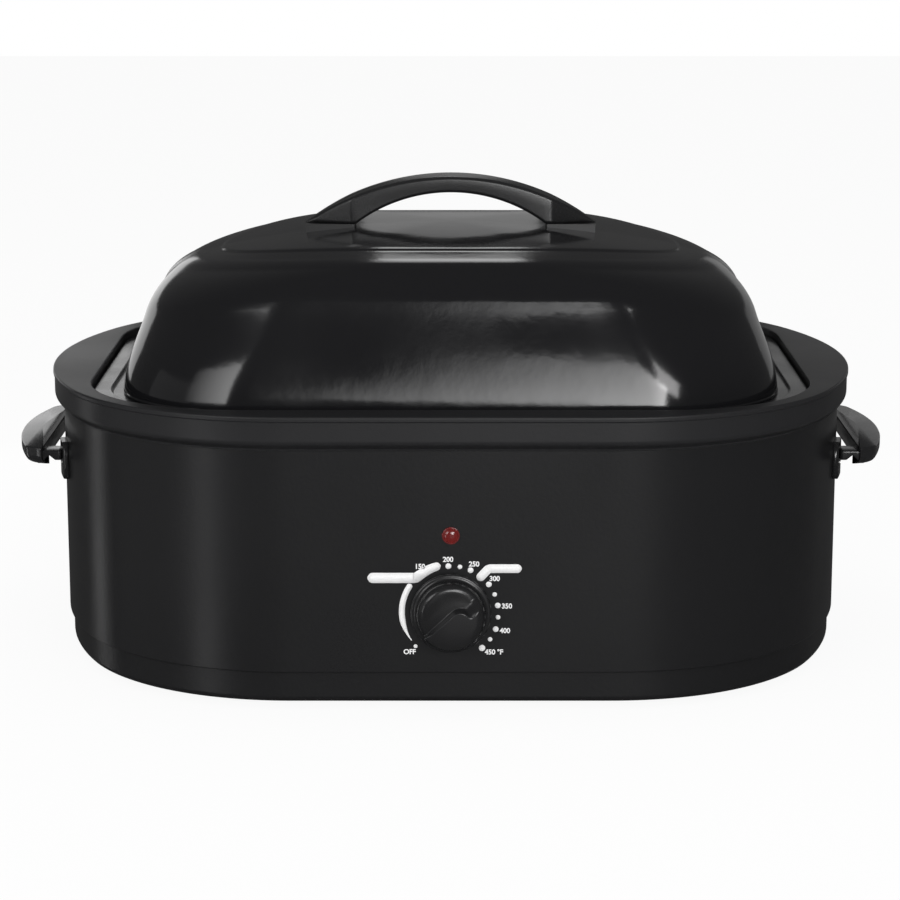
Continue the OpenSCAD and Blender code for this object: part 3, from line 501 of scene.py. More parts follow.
def gloss_enamel(name, shade, gloss):
    """Glass enamel: deep black under a glossy skin with long, shallow waves and pinpricks."""
    f = Finish(name)
    waves, peel, smear = f.noise(38), f.noise(260), f.noise(14, 4)
    rough = f.spread(smear, 0.35, 0.7, gloss - 0.02, gloss + 0.05)
    spot = f.spread(f.texture("Voronoi", 900, "Distance"), 0.0, 0.12, 1.0, 0.0)
    tint = f.mixed(spot * 0.5, rgba(shade), rgba(shade, 1.8))
    normal = f.bump(peel, 0.05, 0.0004, f.bump(waves, 0.10, 0.0012))
    return f.surface(tint, rough, normal)


def moulded_plastic(name, shade, gloss):
    """Moulded phenolic: a fine spark-eroded grain, with a rubbed, glossier drift."""
    f = Finish(name)
    grain, drift = f.noise(1500, 3), f.noise(22, 3)
    rough = f.spread(drift, 0.3, 0.7, gloss - 0.04, gloss + 0.05) + (grain - 0.5) * 0.06
    tint = f.mixed(grain, rgba(shade, 0.9), rgba(shade, 1.15))
    return f.surface(tint, rough, f.bump(grain, 0.18, 0.0002))


def printed_ink(name, shade):
    """Screen-printed white ink, a touch thinner in places."""
    f = Finish(name)
    film = f.noise(900, 3)
    tint = f.mixed(f.spread(film, 0.3, 0.75), rgba(shade, 0.9), rgba(shade))
    return f.surface(tint, f.between(0.42, 0.55, film), f.bump(film, 0.1, 0.00005))


def lens_plastic(name, shade):
    """Red polycarbonate: dark in its depth, lighter where it is thin towards the edge."""
    f = Finish(name)
    thin = f.node("LayerWeight", {"Blend": 0.35}, "Facing")
    flow = f.noise(300)
    tint = f.mixed(thin, rgba(shade, 0.7), rgba(shade, 1.35))
    return f.surface(tint, f.between(0.10, 0.2, flow), f.bump(flow, 0.06, 0.0003), Coat_Weight=0.6)


def plated_steel(name):
    """Zinc-plated steel: fine drawn lines, a cloudy passivation and duller patches."""
    f = Finish(name)
    lines, cloud = f.noise(900, 2, 14), f.noise(60, 4)
    tint = f.mixed(cloud, (0.492, 0.492, 0.4756, 1), (0.648, 0.648, 0.645192, 1))
    rough = f.spread(cloud, 0.3, 0.7, 0.24, 0.40) + (lines - 0.5) * 0.1
    return f.surface(tint, rough, f.bump(lines, 0.12, 0.0001), Metallic=1.0)


def bright_wire(name):
    """Bright nickel-chrome plating with a slight ripple and a few water marks."""
    f = Finish(name)
    marks = f.spread(f.noise(70, 5), 0.52, 0.68)
    tint = f.mixed(marks, (0.83, 0.83, 0.84, 1), (0.66, 0.66, 0.65, 1))
    return f.surface(tint, marks * 0.16 + 0.07, f.bump(f.noise(240), 0.08, 0.0003), Metallic=1.0)


def heated_steel(name):
    """Aluminised steel of the well: spangled, and straw to brown where the bands heat it."""
    f = Finish(name)
    cloud = f.noise(18, 4)
    height = f.node("SeparateXYZ", {"Vector": f.place}, "Z")
    heat = f.spread(height, 0.05, 0.17) * f.spread(cloud, 0.35, 0.65)
    metal = f.mixed(0.12, (0.55, 0.55, 0.54, 1), f.texture("Voronoi", 260, "Color"))
    tint = f.mixed(heat * 0.5, metal, (0.36, 0.29, 0.2, 1))
    rough = f.spread(cloud, 0.3, 0.7, 0.32, 0.5)
    return f.surface(tint, rough, f.bump(cloud, 0.1, 0.001), Metallic=1.0)


def glass_wool(name):
    """Matted glass fibre: long crossed strands with clumps and hollows."""
    f = Finish(name)
    strands, clumps = f.noise(420, 5, 5), f.noise(45, 3)
    tint = f.mixed(clumps * 0.6 + strands * 0.4, (0.52, 0.46, 0.28, 1), (0.86, 0.82, 0.66, 1))
    return f.surface(tint, 0.95, f.bump(strands, 0.7, 0.001, f.bump(clumps, 0.6, 0.004)))


def woven_tape(name):
    """Woven glass tape: over-and-under ribs, scorched a little in places."""
    f = Finish(name)
    up = f.texture("Wave", 170, bands_direction="Z")
    along = f.texture("Wave", 120, bands_direction="DIAGONAL")
    scorch = f.spread(f.noise(30, 4), 0.4, 0.75)
    tint = f.mixed(scorch, (0.83, 0.8, 0.72, 1), (0.55, 0.42, 0.26, 1))
    return f.surface(tint, 0.85, f.bump(up * along, 0.6, 0.0006))


def pressed_ceramic(name):
    """Pressed steatite: chalky, with fine pores and faint brown specks."""
    f = Finish(name)
    pores, specks = f.noise(1400, 3), f.spread(f.noise(600), 0.66, 0.74)
    tint = f.mixed(specks, (0.80, 0.77, 0.70, 1), (0.5, 0.42, 0.32, 1))
    return f.surface(tint, f.between(0.5, 0.75, pores), f.bump(pores, 0.25, 0.0002))


def plain_brass(name):
    """Turned brass: fine lines and a light tarnish."""
    f = Finish(name)
    lines, tarnish = f.noise(1200, 2, 8), f.noise(150, 4)
    tint = f.mixed(tarnish, (0.78, 0.58, 0.26, 1), (0.5, 0.34, 0.16, 1))
    return f.surface(tint, f.between(0.25, 0.42, tarnish), f.bump(lines, 0.15, 0.0001), Metallic=1.0)


def moulded_rubber(name):
    """Black rubber: fine grain, greyed a little where it rubs."""
    f = Finish(name)
    grain, bloom = f.noise(1800, 3), f.noise(80, 4)
    tint = f.mixed(f.spread(bloom, 0.45, 0.8), (0.022, 0.022, 0.022, 1), (0.05, 0.05, 0.048, 1))
    return f.surface(tint, f.between(0.65, 0.85, bloom), f.bump(grain, 0.35, 0.0002))


def lamp_glass(name):
    """Neon lamp's glass: clear, faintly amber and drawn with fine ripples."""
    f = Finish(name)
    ripple = f.noise(500)
    tint = f.mixed(ripple, (0.95, 0.75, 0.55, 1), (1.0, 0.86, 0.7, 1))
    return f.surface(tint, f.between(0.03, 0.1, ripple), f.bump(ripple, 0.08, 0.0003),
                     Transmission_Weight=0.85)


# ---- Operators ----

class ROASTER_OT_casing(Operator):
    """Makes the shell, the collar and the base tray of the casing"""
    bl_idname = "roaster.casing"
    bl_label = "Casing"

    def execute(self, context):
        size, finishes = settings(context, "casing", "finishes")
        sheet, hem = size.sheet_t, size.hem_w
        wall = (size.collar_l - (SHELL_HIGH.x - SHELL_LOW.x)) / 2
        low, high = SHELL_LOW.z, SHELL_HIGH.z
        section = rounded([
            (wall, high, 0.0001), (wall, low, 0.0006), (wall + hem, low, 0.0002),
            (wall + hem, low + sheet, 0.0002), (wall + sheet, low + sheet, 0.0004),
            (wall + sheet, high, 0.0001)], closed=True)
        shell = tube(carried(context, casing_rings, section))
        piece("shell_wall", [shell], stove_paint("body_paint", finishes.paint), "housing",
              "body_paint", "body_shell")

        t, top = size.collar_t, COLLAR_HIGH.z
        below = top - t
        lip, cove, skirt, skirt_top = 0.0008, 0.0180, top - 0.0235, top - 0.0215
        flat = 0.0045  # how far each family of rings reaches on the collar's flat top
        outer = rounded([
            (flat, top, 0), (0, top, 0.0011), (0, top - size.lip_h, 0.0004),
            (lip, top - size.lip_h - 0.0007, 0.0004), (lip, top - cove, 0.0040),
            (wall - 0.0002, top - 0.0222, 0.0014), (wall - 0.0002, skirt, 0.0002),
            (wall + 0.0006, skirt, 0.0002), (wall + 0.0006, skirt_top, 0.0010),
            (lip + t, top - cove + 0.0006, 0.0020), (lip + t, below, 0.0006),
            (flat + 0.0010, below, 0)])
        ledge, ledge_in = WELL_HIGH.z - sheet, 0.008
        inner = rounded([
            (-flat, below, 0), (-t, below, 0.0006), (-t, ledge - t, 0.0006),
            (ledge_in, ledge - t, 0.0002), (ledge_in, ledge, 0.0002), (0, ledge, 0.0005),
            (0, top, 0.0010), (-flat, top, 0)])
        rings = chain(carried(context, casing_rings, outer), carried(context, nest_rings, inner))
        # The collar's paint is the shell's black made 1.5 times as light: painted light on the collar's
        # top and front.
        piece("collar_ring", [tube(rings)], stove_paint("collar_paint", finishes.paint, 0.36, 1.5),
              "housing", "collar_paint", "rim_collar")

        base = (size.collar_l - (TRAY_HIGH.x - TRAY_LOW.x)) / 2
        floor, middle = TRAY_LOW.z, 0.080
        lap, lap_top = wall + hem + 0.0002, TRAY_HIGH.z
        section = rounded([
            (middle, floor, 0), (base, floor, 0.0040), (base, low, 0.0006), (lap, low, 0.0004),
            (lap, lap_top, 0.0003), (lap + sheet, lap_top, 0.0003), (lap + sheet, low - sheet, 0.0004),
            (base + sheet, low - sheet, 0.0004), (base + sheet, floor + sheet, 0.0032),
            (middle, floor + sheet, 0)])
        tray = capped(carried(context, casing_rings, section))
        piece("base_band", [tray], stove_paint("base_paint", finishes.paint, 0.34), "housing",
              "base_paint", "base_tray")
        return {"FINISHED"}


class ROASTER_OT_pan(Operator):
    """Makes the roasting pan and the heating well that it hangs in"""
    bl_idname = "roaster.pan"
    bl_label = "Pan and well"

    def execute(self, context):
        casing, pan, finishes = settings(context, "casing", "pan", "finishes")
        rim, floor, steel = PAN_HIGH.z, PAN_LOW.z, pan.steel_t
        edge, step = pan.gap, pan.gap + pan.rim_w
        seat = rim - pan.step
        under, turn = seat - steel, 0.0006
        wall = step + pan.seat_w
        foot, middle = wall + pan.draft, 0.080
        section = rounded([
            (middle, floor + steel, 0), (foot, floor + steel, pan.floor_r), (wall, seat, 0.0016),
            (step + turn, seat, 0.0006), (step - 0.0004, rim, 0.0006), (edge, rim, 0.0010),
            (edge, under, 0.0002), (edge + steel, under, 0.0002), (edge + steel, rim - steel, 0.0004),
            (step - turn, rim - steel, 0.0004), (step, under, 0.0004), (wall - steel, under, 0.0008),
            (foot - steel, floor, pan.floor_r + steel), (middle, floor, 0)], steps=8)
        bowl = capped(carried(context, nest_rings, section))
        piece("pan_bowl", [bowl], gloss_enamel("pan_enamel", finishes.enamel, 0.16), "pan",
              "pan_enamel", "roasting_pan")

        sheet = casing.sheet_t
        well = wall - steel - pan.well_gap
        foot, middle = well + pan.draft, 0.085
        low, top = WELL_LOW.z, WELL_HIGH.z
        radius = pan.floor_r + steel + pan.well_gap
        section = rounded([
            (middle, low + sheet, 0), (foot, low + sheet, radius), (well, top, 0.0016),
            (edge, top, 0.0002), (edge, top - sheet, 0.0002), (well - sheet, top - sheet, 0.0008),
            (foot - sheet, low, radius + sheet), (middle, low, 0)], steps=8)
        liner = capped(carried(context, nest_rings, section))
        piece("well_liner", [liner], heated_steel("well_steel"), "housing",
              "well_steel", "heating_well")
        return {"FINISHED"}


def lid_section(half, height, lean, shoulder, crown):
    """Half section of the lid [row, (out, up)]: leaning side, shoulder arc, tangent to the crown.

    The side bulges by 27/4 b s (1 - s)^2 at s of its length. The shoulder's middle c slides
    along the side's parallel until it is crown - shoulder from the crown's middle, where the
    two arcs touch.
    """
    side, bend = 16, 20
    along = np.array([-math.sin(lean), math.cos(lean)])
    inward = np.array([-math.cos(lean), -math.sin(lean)])
    crown_c = np.array([0.0, height - crown])
    v = np.array([half, 0.0]) + shoulder * inward - crown_c
    slide = -v @ along + math.sqrt((v @ along) ** 2 - v @ v + (crown - shoulder) ** 2)
    c = crown_c + v + slide * along
    foot = c - shoulder * inward
    a1 = math.atan2(foot[1] - c[1], foot[0] - c[0])
    a2 = math.atan2(c[1] - crown_c[1], c[0] - crown_c[0])
    s = np.linspace(0, 1, side, endpoint=False)[:, None]
    line = np.linspace([half, 0.0], foot, side, endpoint=False)
    line = line - 27 / 4 * SIDE_BULGE * s * (1 - s) ** 2 * inward
    turn = np.linspace(a1, a2, bend + 1)
    return chain(line, c + shoulder * coords(np.cos(turn), np.sin(turn)))


def lid_rings(context, steel):
    """Rings of one face of the lid from its rim to its crown.

    A ring's height is zx (1 - w) + zy w with w = (y / front)^2, so its ends follow the long
    section and its front the cross section. Over the crown the rings shrink to a point, and
    a smooth step lifts the raised panel.
    """
    lid, pan, size = settings(context, "lid", "pan", "casing")
    outside, slope, inside = 8, 7, 26
    tip, roundest, opens = 0.02, 0.95, 1.6
    margin = np.array([0.0135, 0.024])  # from the shoulder to the raised panel
    lid_in = pan.gap + pan.rim_w + lid.gap
    half_l, half_d = size.opening_l / 2 - lid_in, size.opening_d / 2 - lid_in
    height = lid.height - steel
    crowns = np.array([lid.long_crown_r, lid.cross_crown_r]) - steel
    ends = lid_section(half_l - steel, height, lid.lean, lid.end_shoulder_r - steel, crowns[0])
    fronts = lid_section(half_d - steel, height, lid.lean, lid.front_shoulder_r - steel, crowns[1])
    shoulder = np.array([ends[-1, 0], fronts[-1, 0]])
    panel = shoulder - margin
    edge = np.linspace(0, 1, outside)[1:, None]
    crown = chain(shoulder * (1 - edge) + (panel + STEP_W) * edge,
                  panel + STEP_W * np.linspace(1, 0, slope)[1:, None],
                  panel * np.linspace(1, tip, inside)[1:, None])
    ease = chain(np.zeros(outside - 1), np.linspace(0, 1, slope)[1:], np.ones(inside - 1))[:, None]
    lift = lid.panel_h * ease ** 2 * (3 - 2 * ease)
    half = chain(np.stack([ends[:, 0], fronts[:, 0]], 1), crown)
    crown_z = height - crowns + np.sqrt(crowns ** 2 - crown ** 2) + lift
    long_z, cross_z = chain(np.stack([ends[:, 1], fronts[:, 1]], 1), crown_z).T[..., None]
    tight = size.opening_r - size.corner_draw - steel + opens * half_d * (1 - ends[:, 0] / half_l)
    free = roundest * half.min(1)
    radius = np.minimum(chain(tight, free[len(ends):]), free)
    rings = rounded_box_rings(half[:, 0], half[:, 1], radius)
    w = (rings[..., 1] / half[:, 1:]) ** 2
    z = long_z * (1 - w) + cross_z * w
    return coords(rings[..., 0], rings[..., 1] + MIDDLE_Y, LID_LOW.z + z)


class ROASTER_OT_lid(Operator):
    """Makes the domed lid with its raised oval panel and the bead round its rim"""
    bl_idname = "roaster.lid"
    bl_label = "Lid"

    def execute(self, context):
        lid, finishes = settings(context, "lid", "finishes")
        outer, inner = lid_rings(context, 0.0), lid_rings(context, lid.steel_t)
        rim = outer[:1]
        bead = rim + (rim - [0, MIDDLE_Y, 0]) * [0.0012, 0.0016, 0]
        lift = np.array([0.0, 0.0, 0.0014])
        wall = [rim * (1 - part) + outer[1:2] * part for part in (0.42, 0.50, 0.75)]
        dome = capped(chain(inner[::-1], bead, bead + lift * 0.5, bead + lift, *wall, outer[1:]))
        piece("lid_dome", [dome], gloss_enamel("lid_enamel", finishes.enamel, 0.105), "lid",
              "lid_enamel", "lid_shell")
        return {"FINISHED"}


def knob_surface(size):
    """Knob as heights over its face: a skirt, and a domed grip with a finger scoop cut into it.

    In axes (a, b) in mm, a towards the pointer and b towards the high side, the scoop's wall
    is a line at b = -1.3, then a circle about (-3.5, 5) of radius 6.3 that hooks round its
    end. At s beyond that wall its depth is a smooth step of s, times a slow return to half,
    times a fade past the hook.
    """
    face, back = PANEL_Y - KNOB_LOW.y, PANEL_Y - KNOB_HIGH.y
    skirt, skirt_r, sheet = size.skirt_t, (KNOB_HIGH.x - KNOB_LOW.x) / 2, 0.0025
    edge, grip, root = size.edge_r, size.grip_r, 0.0004
    line_b, hook_a, hook_b, hook_r = -1.3, -3.5, 5, 6.3
    dome = 0.0022
    flat = np.linspace(0.015, 1, 30) * (grip - edge)
    bend = np.linspace(0, 0.46 * math.pi, 14)[1:]
    fall = np.linspace(0, 1, 7)[1:]
    radius = chain(flat, grip - edge + edge * np.sin(bend),
                   grip - edge * (1 - math.sin(bend[-1])) * (1 - fall) + root * fall)
    drop = edge * (1 - np.cos(chain(0 * flat, bend, np.full(len(fall), bend[-1]))))
    down = chain(0 * flat, 0 * bend, fall)[:, None]
    turn = np.linspace(0, 2 * math.pi, 360, endpoint=False)
    r = radius[:, None]
    u, v = r * np.cos(turn), r * np.sin(turn)
    sine, cosine = math.sin(size.off_angle), math.cos(size.off_angle)
    a, b = (v * cosine - u * sine) / MM, (-u * cosine - v * sine) / MM
    hook = np.where(b < hook_b, np.hypot(a - hook_a, b - hook_b) - hook_r, hook_a - hook_r - a)
    s = np.where(a > hook_a, line_b - b, hook)
    depth = size.scoop * smooth(s, -0.3, 1.5) * (1 - 0.5 * smooth(s, 5, 22)) * (1 - smooth(b, 0.5, 9))
    top = face - dome * (r / grip) ** 2 - depth - drop[:, None]
    out = top * (1 - down) + skirt * down
    under = skirt - 0.0015
    rim = rounded([(grip + root, skirt, 0), (skirt_r, skirt - 0.0004, 0.0016), (skirt_r, back, 0.0006),
                   (skirt_r - sheet, back, 0.0004), (skirt_r - sheet, under, 0.0004),
                   (0.003, under, 0)])[1:, :, None]
    u = chain(u, rim[:, 0] * np.cos(turn))
    v = chain(v, rim[:, 0] * np.sin(turn))
    out = chain(out, rim[:, 1] + 0 * turn)
    return capped(coords(u, PANEL_Y - out, DIAL_Z + v))


class ROASTER_OT_control(Operator):
    """Makes the knob with its finger scoop and the lens of the lamp"""
    bl_idname = "roaster.control"
    bl_label = "Knob and lamp"

    def execute(self, context):
        size, finishes = settings(context, "control", "finishes")
        grip = moulded_plastic("knob_plastic", finishes.plastic, 0.22)
        piece("knob_grip", [knob_surface(size)], grip, "knob", "knob_plastic", "control_knob")
        radius, out, back = (LENS_HIGH.x - LENS_LOW.x) / 2, PANEL_Y - LENS_LOW.y, PANEL_Y - LENS_HIGH.y
        flange, dome_r, edge = 0.0009, radius * 0.86, 0.0002
        turn = np.linspace(QUARTER, 0, 15)
        dome = coords(dome_r * np.cos(turn), flange + (out - flange) * np.sin(turn))
        dome[0, 0] = edge
        neck, bore = radius - 0.001, radius - 0.0022
        bezel = rounded([(dome_r, flange, 0), (radius, flange, 0.0004), (radius, 0, edge),
                         (neck, 0, edge), (neck, back, edge), (bore, back, edge),
                         (bore, 0.0002, edge), (0.0003, 0.0012, 0)])[1:]
        lens = turned(chain(dome, bezel), 0.0, (LENS_LOW.z + LENS_HIGH.z) / 2, 64)
        piece("lamp_lens", [lens], lens_plastic("red_lens", finishes.lens), "housing", "red_lens",
              "indicator_lens")
        return {"FINISHED"}


# Clockwise angle from straight up, radius, and how far out of the dots' circle
DOTS = ((-135.1, 0.0013, 0.0018), (-3, 0.0019, 0), (11, 0.0015, 0), (24.5, 0.0019, 0), (53, 0.0019, 0),
        (67.5, 0.0015, 0), (81.8, 0.0019, 0), (96.6, 0.0015, 0.0001), (111.6, 0.0019, 0.0006),
        (125.8, 0.0015, 0.0007), (140.1, 0.0021, 0.0009))
# Word, and its middle's place across and up from the dial's middle
WORDS = (("150", -0.0200, 0.0303), ("200", -0.0018, 0.0350), ("250", 0.0150, 0.0319),
         ("300", 0.0283, 0.0222), ("350", 0.0363, 0.0038), ("400", 0.0351, -0.0127),
         ("450 \u00b0F", 0.0280, -0.0271), ("OFF", -0.0268, -0.0269))


def clock(angle, radius):
    """Point (x, z) at a clockwise angle in degrees from straight up about the dial's middle."""
    turn = np.radians(angle)
    return coords(radius * np.sin(turn), DIAL_Z + radius * np.cos(turn))


def figures(words, height):
    """Printed words (word, x, z) as one mesh: Blender's own letters, laid on the panel."""
    points, faces, count = [], [], 0
    for word, x, z in words:
        curve = bpy.data.curves.new("figures", "FONT")
        curve.body = word
        curve.size, curve.offset, curve.extrude = height * 1.38, height * 0.035, FILM / 2
        curve.align_x, curve.align_y = "CENTER", "CENTER"
        curve.resolution_u = 3
        curve.space_character = 0.96
        letters = bpy.data.objects.new("figures", curve)
        mesh = bpy.data.meshes.new_from_object(letters)
        flat = np.empty(len(mesh.vertices) * 3, np.float32)
        mesh.vertices.foreach_get("co", flat)
        across, up, out = flat.reshape(-1, 3).T
        points.append(coords(x + across, PANEL_Y - FILM / 2 - out, DIAL_Z + z + up))
        faces += [[count + v for v in face.vertices] for face in mesh.polygons]
        count += len(across)
        bpy.data.objects.remove(letters)
        bpy.data.curves.remove(curve)
        bpy.data.meshes.remove(mesh)
    mesh = bpy.data.meshes.new("dial_figures")
    mesh.from_pydata(chain(*points).tolist(), [], faces)
    return mesh


class ROASTER_OT_dial(Operator):
    """Makes the dial's printed marks: dots, figures, the tapering arc and the two blank tags"""
    bl_idname = "roaster.dial"
    bl_label = "Printed dial"

    def execute(self, context):
        size, finishes = settings(context, "control", "finishes")
        ink = printed_ink("dial_ink", finishes.ink)
        centre, arc_r = 0.0002, 0.0318
        marks = []
        for angle, radius, out in DOTS:
            x, z = clock(angle, size.dots_r + out)
            marks.append(turned([(centre, FILM), (radius, FILM), (radius, 0), (centre, 0)], x, z, 32))
        sweep = np.linspace(-127.5, -54, 60)
        marks.append(ribbon(clock(sweep, arc_r), 0.0006 + 0.0032 * smooth(sweep, -129, -97), 0.4))
        bend = clock(np.linspace(-37, -12, 13), arc_r)[1:]
        left_z, right_z = DIAL_Z + 0.0228, DIAL_Z + 0.0290
        start = np.linspace((-0.0540, left_z), (-0.0228, left_z), 24)
        width = chain(np.full(len(start), 0.0068), np.linspace(0.0064, 0.0052, len(bend)))
        marks.append(ribbon(chain(start, bend), width))
        slope = np.linspace((0.0174, DIAL_Z + 0.0214), (0.0238, DIAL_Z + 0.0284), 12)
        end = np.linspace((0.0254, right_z), (0.0458, right_z), 24)
        marks.append(ribbon(chain(slope, end), 0.0058))
        piece("dial_marks", marks, ink, "housing", "body_paint")
        obj = placed("dial_figures", figures(WORDS, size.figure_h))
        obj.data.materials.append(ink)
        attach(obj, "housing")
        return {"FINISHED"}


def handle_surface(size):
    """The lid's arched handle: upright slices between an outer circle and an inner one.

    At x the top is zo - R + sqrt(R^2 - x^2), and the underside the inner circle's or the feet's
    plane. Each slice is a rectangle with round corners, whose sides turn in over each foot.
    """
    top, foot = HANDLE_HIGH.z, HANDLE_LOW.z
    half_x = (HANDLE_HIGH.x - HANDLE_LOW.x) / 2
    foot_l, foot_turn = 0.032, math.radians(19)
    turn = np.linspace(-1, 1, 141)
    x = half_x * np.sin(turn * QUARTER) * 0.35 + half_x * turn * 0.65
    x[0], x[-1] = -half_x, half_x
    high = top - size.outer_r + np.sqrt(size.outer_r ** 2 - x ** 2)
    reach = np.minimum(np.abs(x), size.inner_r)
    low = np.maximum(top - size.thick - size.inner_r + np.sqrt(size.inner_r ** 2 - reach ** 2), foot)
    high = np.maximum(high, low + 0.0004)
    radius = np.minimum(size.edge_r, (high - low) * 0.49)
    inward = np.maximum(np.abs(x) - (half_x - foot_l), 0) * math.tan(foot_turn)
    slices = box_sections(low, high, HANDLE_LOW.y + inward, HANDLE_HIGH.y - inward, radius, 6)
    return capped(coords(x[:, None], *slices))


def ear_surfaces(context, side):
    """A side handle: a bowed plate, its two arms and the two plates that bear on the shell.

    The bowed plate is a stack of outlines, drawn in by t over the lower edge's quarter round
    and the crisp upper edge. Their outer edge is an arc of radius (l^2 / 4 + w^2) / (2 w) for
    a length l and a bow w, with rounded ends.
    """
    size, casing = settings(context, "handles", "casing")
    wall_x = (SHELL_HIGH.x - SHELL_LOW.x) / 2
    inner, outer = wall_x + size.ear_in, EAR_HIGH.x
    half, end_l = (EAR_HIGH.y - EAR_LOW.y) / 2, 0.010
    top, bottom = EAR_TOP_Z, EAR_TOP_Z - size.ear_t
    turn = np.linspace(0, QUARTER, 9)
    crisp = np.array([0.0016, 0.0011, 0.00035, 0])
    t = chain(size.ear_round * (1 - np.sin(turn)), [0.0, 0.0, 0.00035, 0.0011])[:, None]
    level = chain(bottom + size.ear_round * (1 - np.cos(turn)), top - crisp)
    bow = outer - inner - end_l
    bow_r = (half ** 2 + bow ** 2) / (2 * bow)
    y = np.sin(np.linspace(-1, 1, 65) * QUARTER) * (half - t)
    end = np.clip(1 - np.clip((half - t - np.abs(y)) / end_l, 0, 1), 0, 0.995)
    x = outer - t - bow_r + np.sqrt(bow_r ** 2 - y ** 2) - end_l * (1 - np.sqrt(1 - end ** 2))
    back_y = np.linspace(1, -1, 24)[1:-1] * (half - t)
    back_x = inner + 0.3 * np.minimum(t, 0.002) + 0 * back_y
    plate_x, plate_y = chain(x, back_x, axis=1), chain(y, back_y, axis=1)
    parts = [capped(coords(side * plate_x, MIDDLE_Y + plate_y, level[:, None]))]

    half_arm, sunk = size.arm_w / 2, 0.004
    arm_y = half - half_arm - sunk
    x = np.linspace(wall_x - sunk, inner + sunk, 9)
    under = np.interp(x, [wall_x, wall_x + 0.0045, inner + 0.001],
                      [top - 0.0098, top - 0.0062, bottom + 0.0006])
    shell_x = casing.collar_l / 2 - casing.end_r
    shell_r = casing.end_r - (casing.collar_l / 2 - wall_x)
    for y in (-arm_y, arm_y):
        arm = box_sections(under, top - 0.003, MIDDLE_Y + y - half_arm, MIDDLE_Y + y + half_arm, 0.0012)
        parts.append(capped(coords(side * x[:, None], *arm)))
        row = np.linspace(y - half_arm, y + half_arm, 12)
        face = shell_x + np.sqrt(shell_r ** 2 - row ** 2)
        pad_x, pad_z = box_sections(EAR_LOW.z, top + 0.003, face - 0.0002, face + 0.004, 0.0008)
        parts.append(capped(coords(side * pad_x, MIDDLE_Y + row[:, None], pad_z)))
    return parts


class ROASTER_OT_handles(Operator):
    """Makes the lid's arched handle and the two side handles"""
    bl_idname = "roaster.handles"
    bl_label = "Handles"

    def execute(self, context):
        size, finishes = settings(context, "handles", "finishes")
        arch = moulded_plastic("lid_handle_plastic", finishes.plastic, 0.26)
        piece("lid_arch", [handle_surface(size)], arch, "lid", "lid_handle_plastic", "lid_handle")
        finish_node("lid_handle_pads", moulded_plastic("pad_plastic", finishes.plastic, 0.42))
        satin = moulded_plastic("handle_plastic", finishes.plastic, 0.17)
        for name, side in (("left", -1), ("right", 1)):
            piece("side_grip_" + name, ear_surfaces(context, side), satin, "housing", "handle_plastic",
                  "side_handle_" + name)
        return {"FINISHED"}


class ROASTER_OT_inner(Operator):
    """Finishes the pieces that keep their own shape: rack, fasteners, feet and inner parts"""
    bl_idname = "roaster.inner"
    bl_label = "Rack, fasteners and inner parts"

    def execute(self, context):
        fasteners = ("foot_screws", "tie_stud", "tie_nut", "thermostat_bracket", "thermostat_screws",
                     "side_handle_screws", "lens_retainer", "lid_handle_screws", "thermostat_shaft")
        wires = ("rack_frame", "rack_cross_wires", "rack_handles", "rack_feet")
        for material, nodes in (
                (plated_steel("plated_steel"), fasteners),
                (plain_brass("brass"), ("terminal_screws", "lid_handle_inserts")),
                (bright_wire("rack_chrome"), wires),
                (pressed_ceramic("white_ceramic"), ("thermostat_body", "terminal_block")),
                (moulded_rubber("black_rubber"), ("rubber_feet", "cord_gland")),
                (glass_wool("glass_wool"), ("insulation_blanket",)),
                (woven_tape("heater_tape"), ("heater_bands",)),
                (lamp_glass("lamp_glass"), ("lamp_bulb",))):
            for node in nodes:
                finish_node(node, material)
        return {"FINISHED"}


# Each panel of light: name, place, aim, width, height, radiance, and its roll and grading if any
LIGHTS = (
    ("key", (0.31, -2.20, 0.70), (0.31, 0, 0.47), 0.98, 0.76, 13.5, -20, "side"),
    ("key_end", (1.02, -2.20, 1.03), (1.0, 0, 0.42), 0.66, 0.54, 7.0, -20),
    ("low", (0.40, -2.20, -0.35), (0.35, 0, 0.10), 1.30, 1.00, 0.25),
    ("left_front", (-1.74, -1.81, 0.99), (-0.2, -0.1, 0.27), 1.70, 1.10, 5.0, 0, "side"),
    ("left_low", (-1.72, -1.70, -0.45), (-0.15, -0.15, 0.20), 0.22, 0.90, 4.0),
    ("left", (-2.30, -0.50, 0.20), (-0.2, -0.1, 0.15), 1.80, 1.80, 0.16),
    ("left_back", (-1.96, 0.87, -0.40), (-0.2, -0.1, 0.15), 0.16, 0.90, 2.6),
    ("near_left", (-0.55, 0.62, 0.22), (-0.47, 0, 0.20), 0.50, 0.28, 0.95),
    ("near_right", (0.55, 0.62, 0.22), (0.47, 0, 0.20), 0.50, 0.28, 0.25),
    ("crown", (0, 1.47, 1.34), (0, -0.12, 0.28), 0.20, 0.95, 2.2, 0, "middle"),
    ("behind", (0, 2.60, 0.68), (0, 0, 0.29), 0.40, 0.88, 0.27),
    ("top", (0, -0.3, 2.6), (0, 0, 0.2), 2.0, 1.4, 2.2))


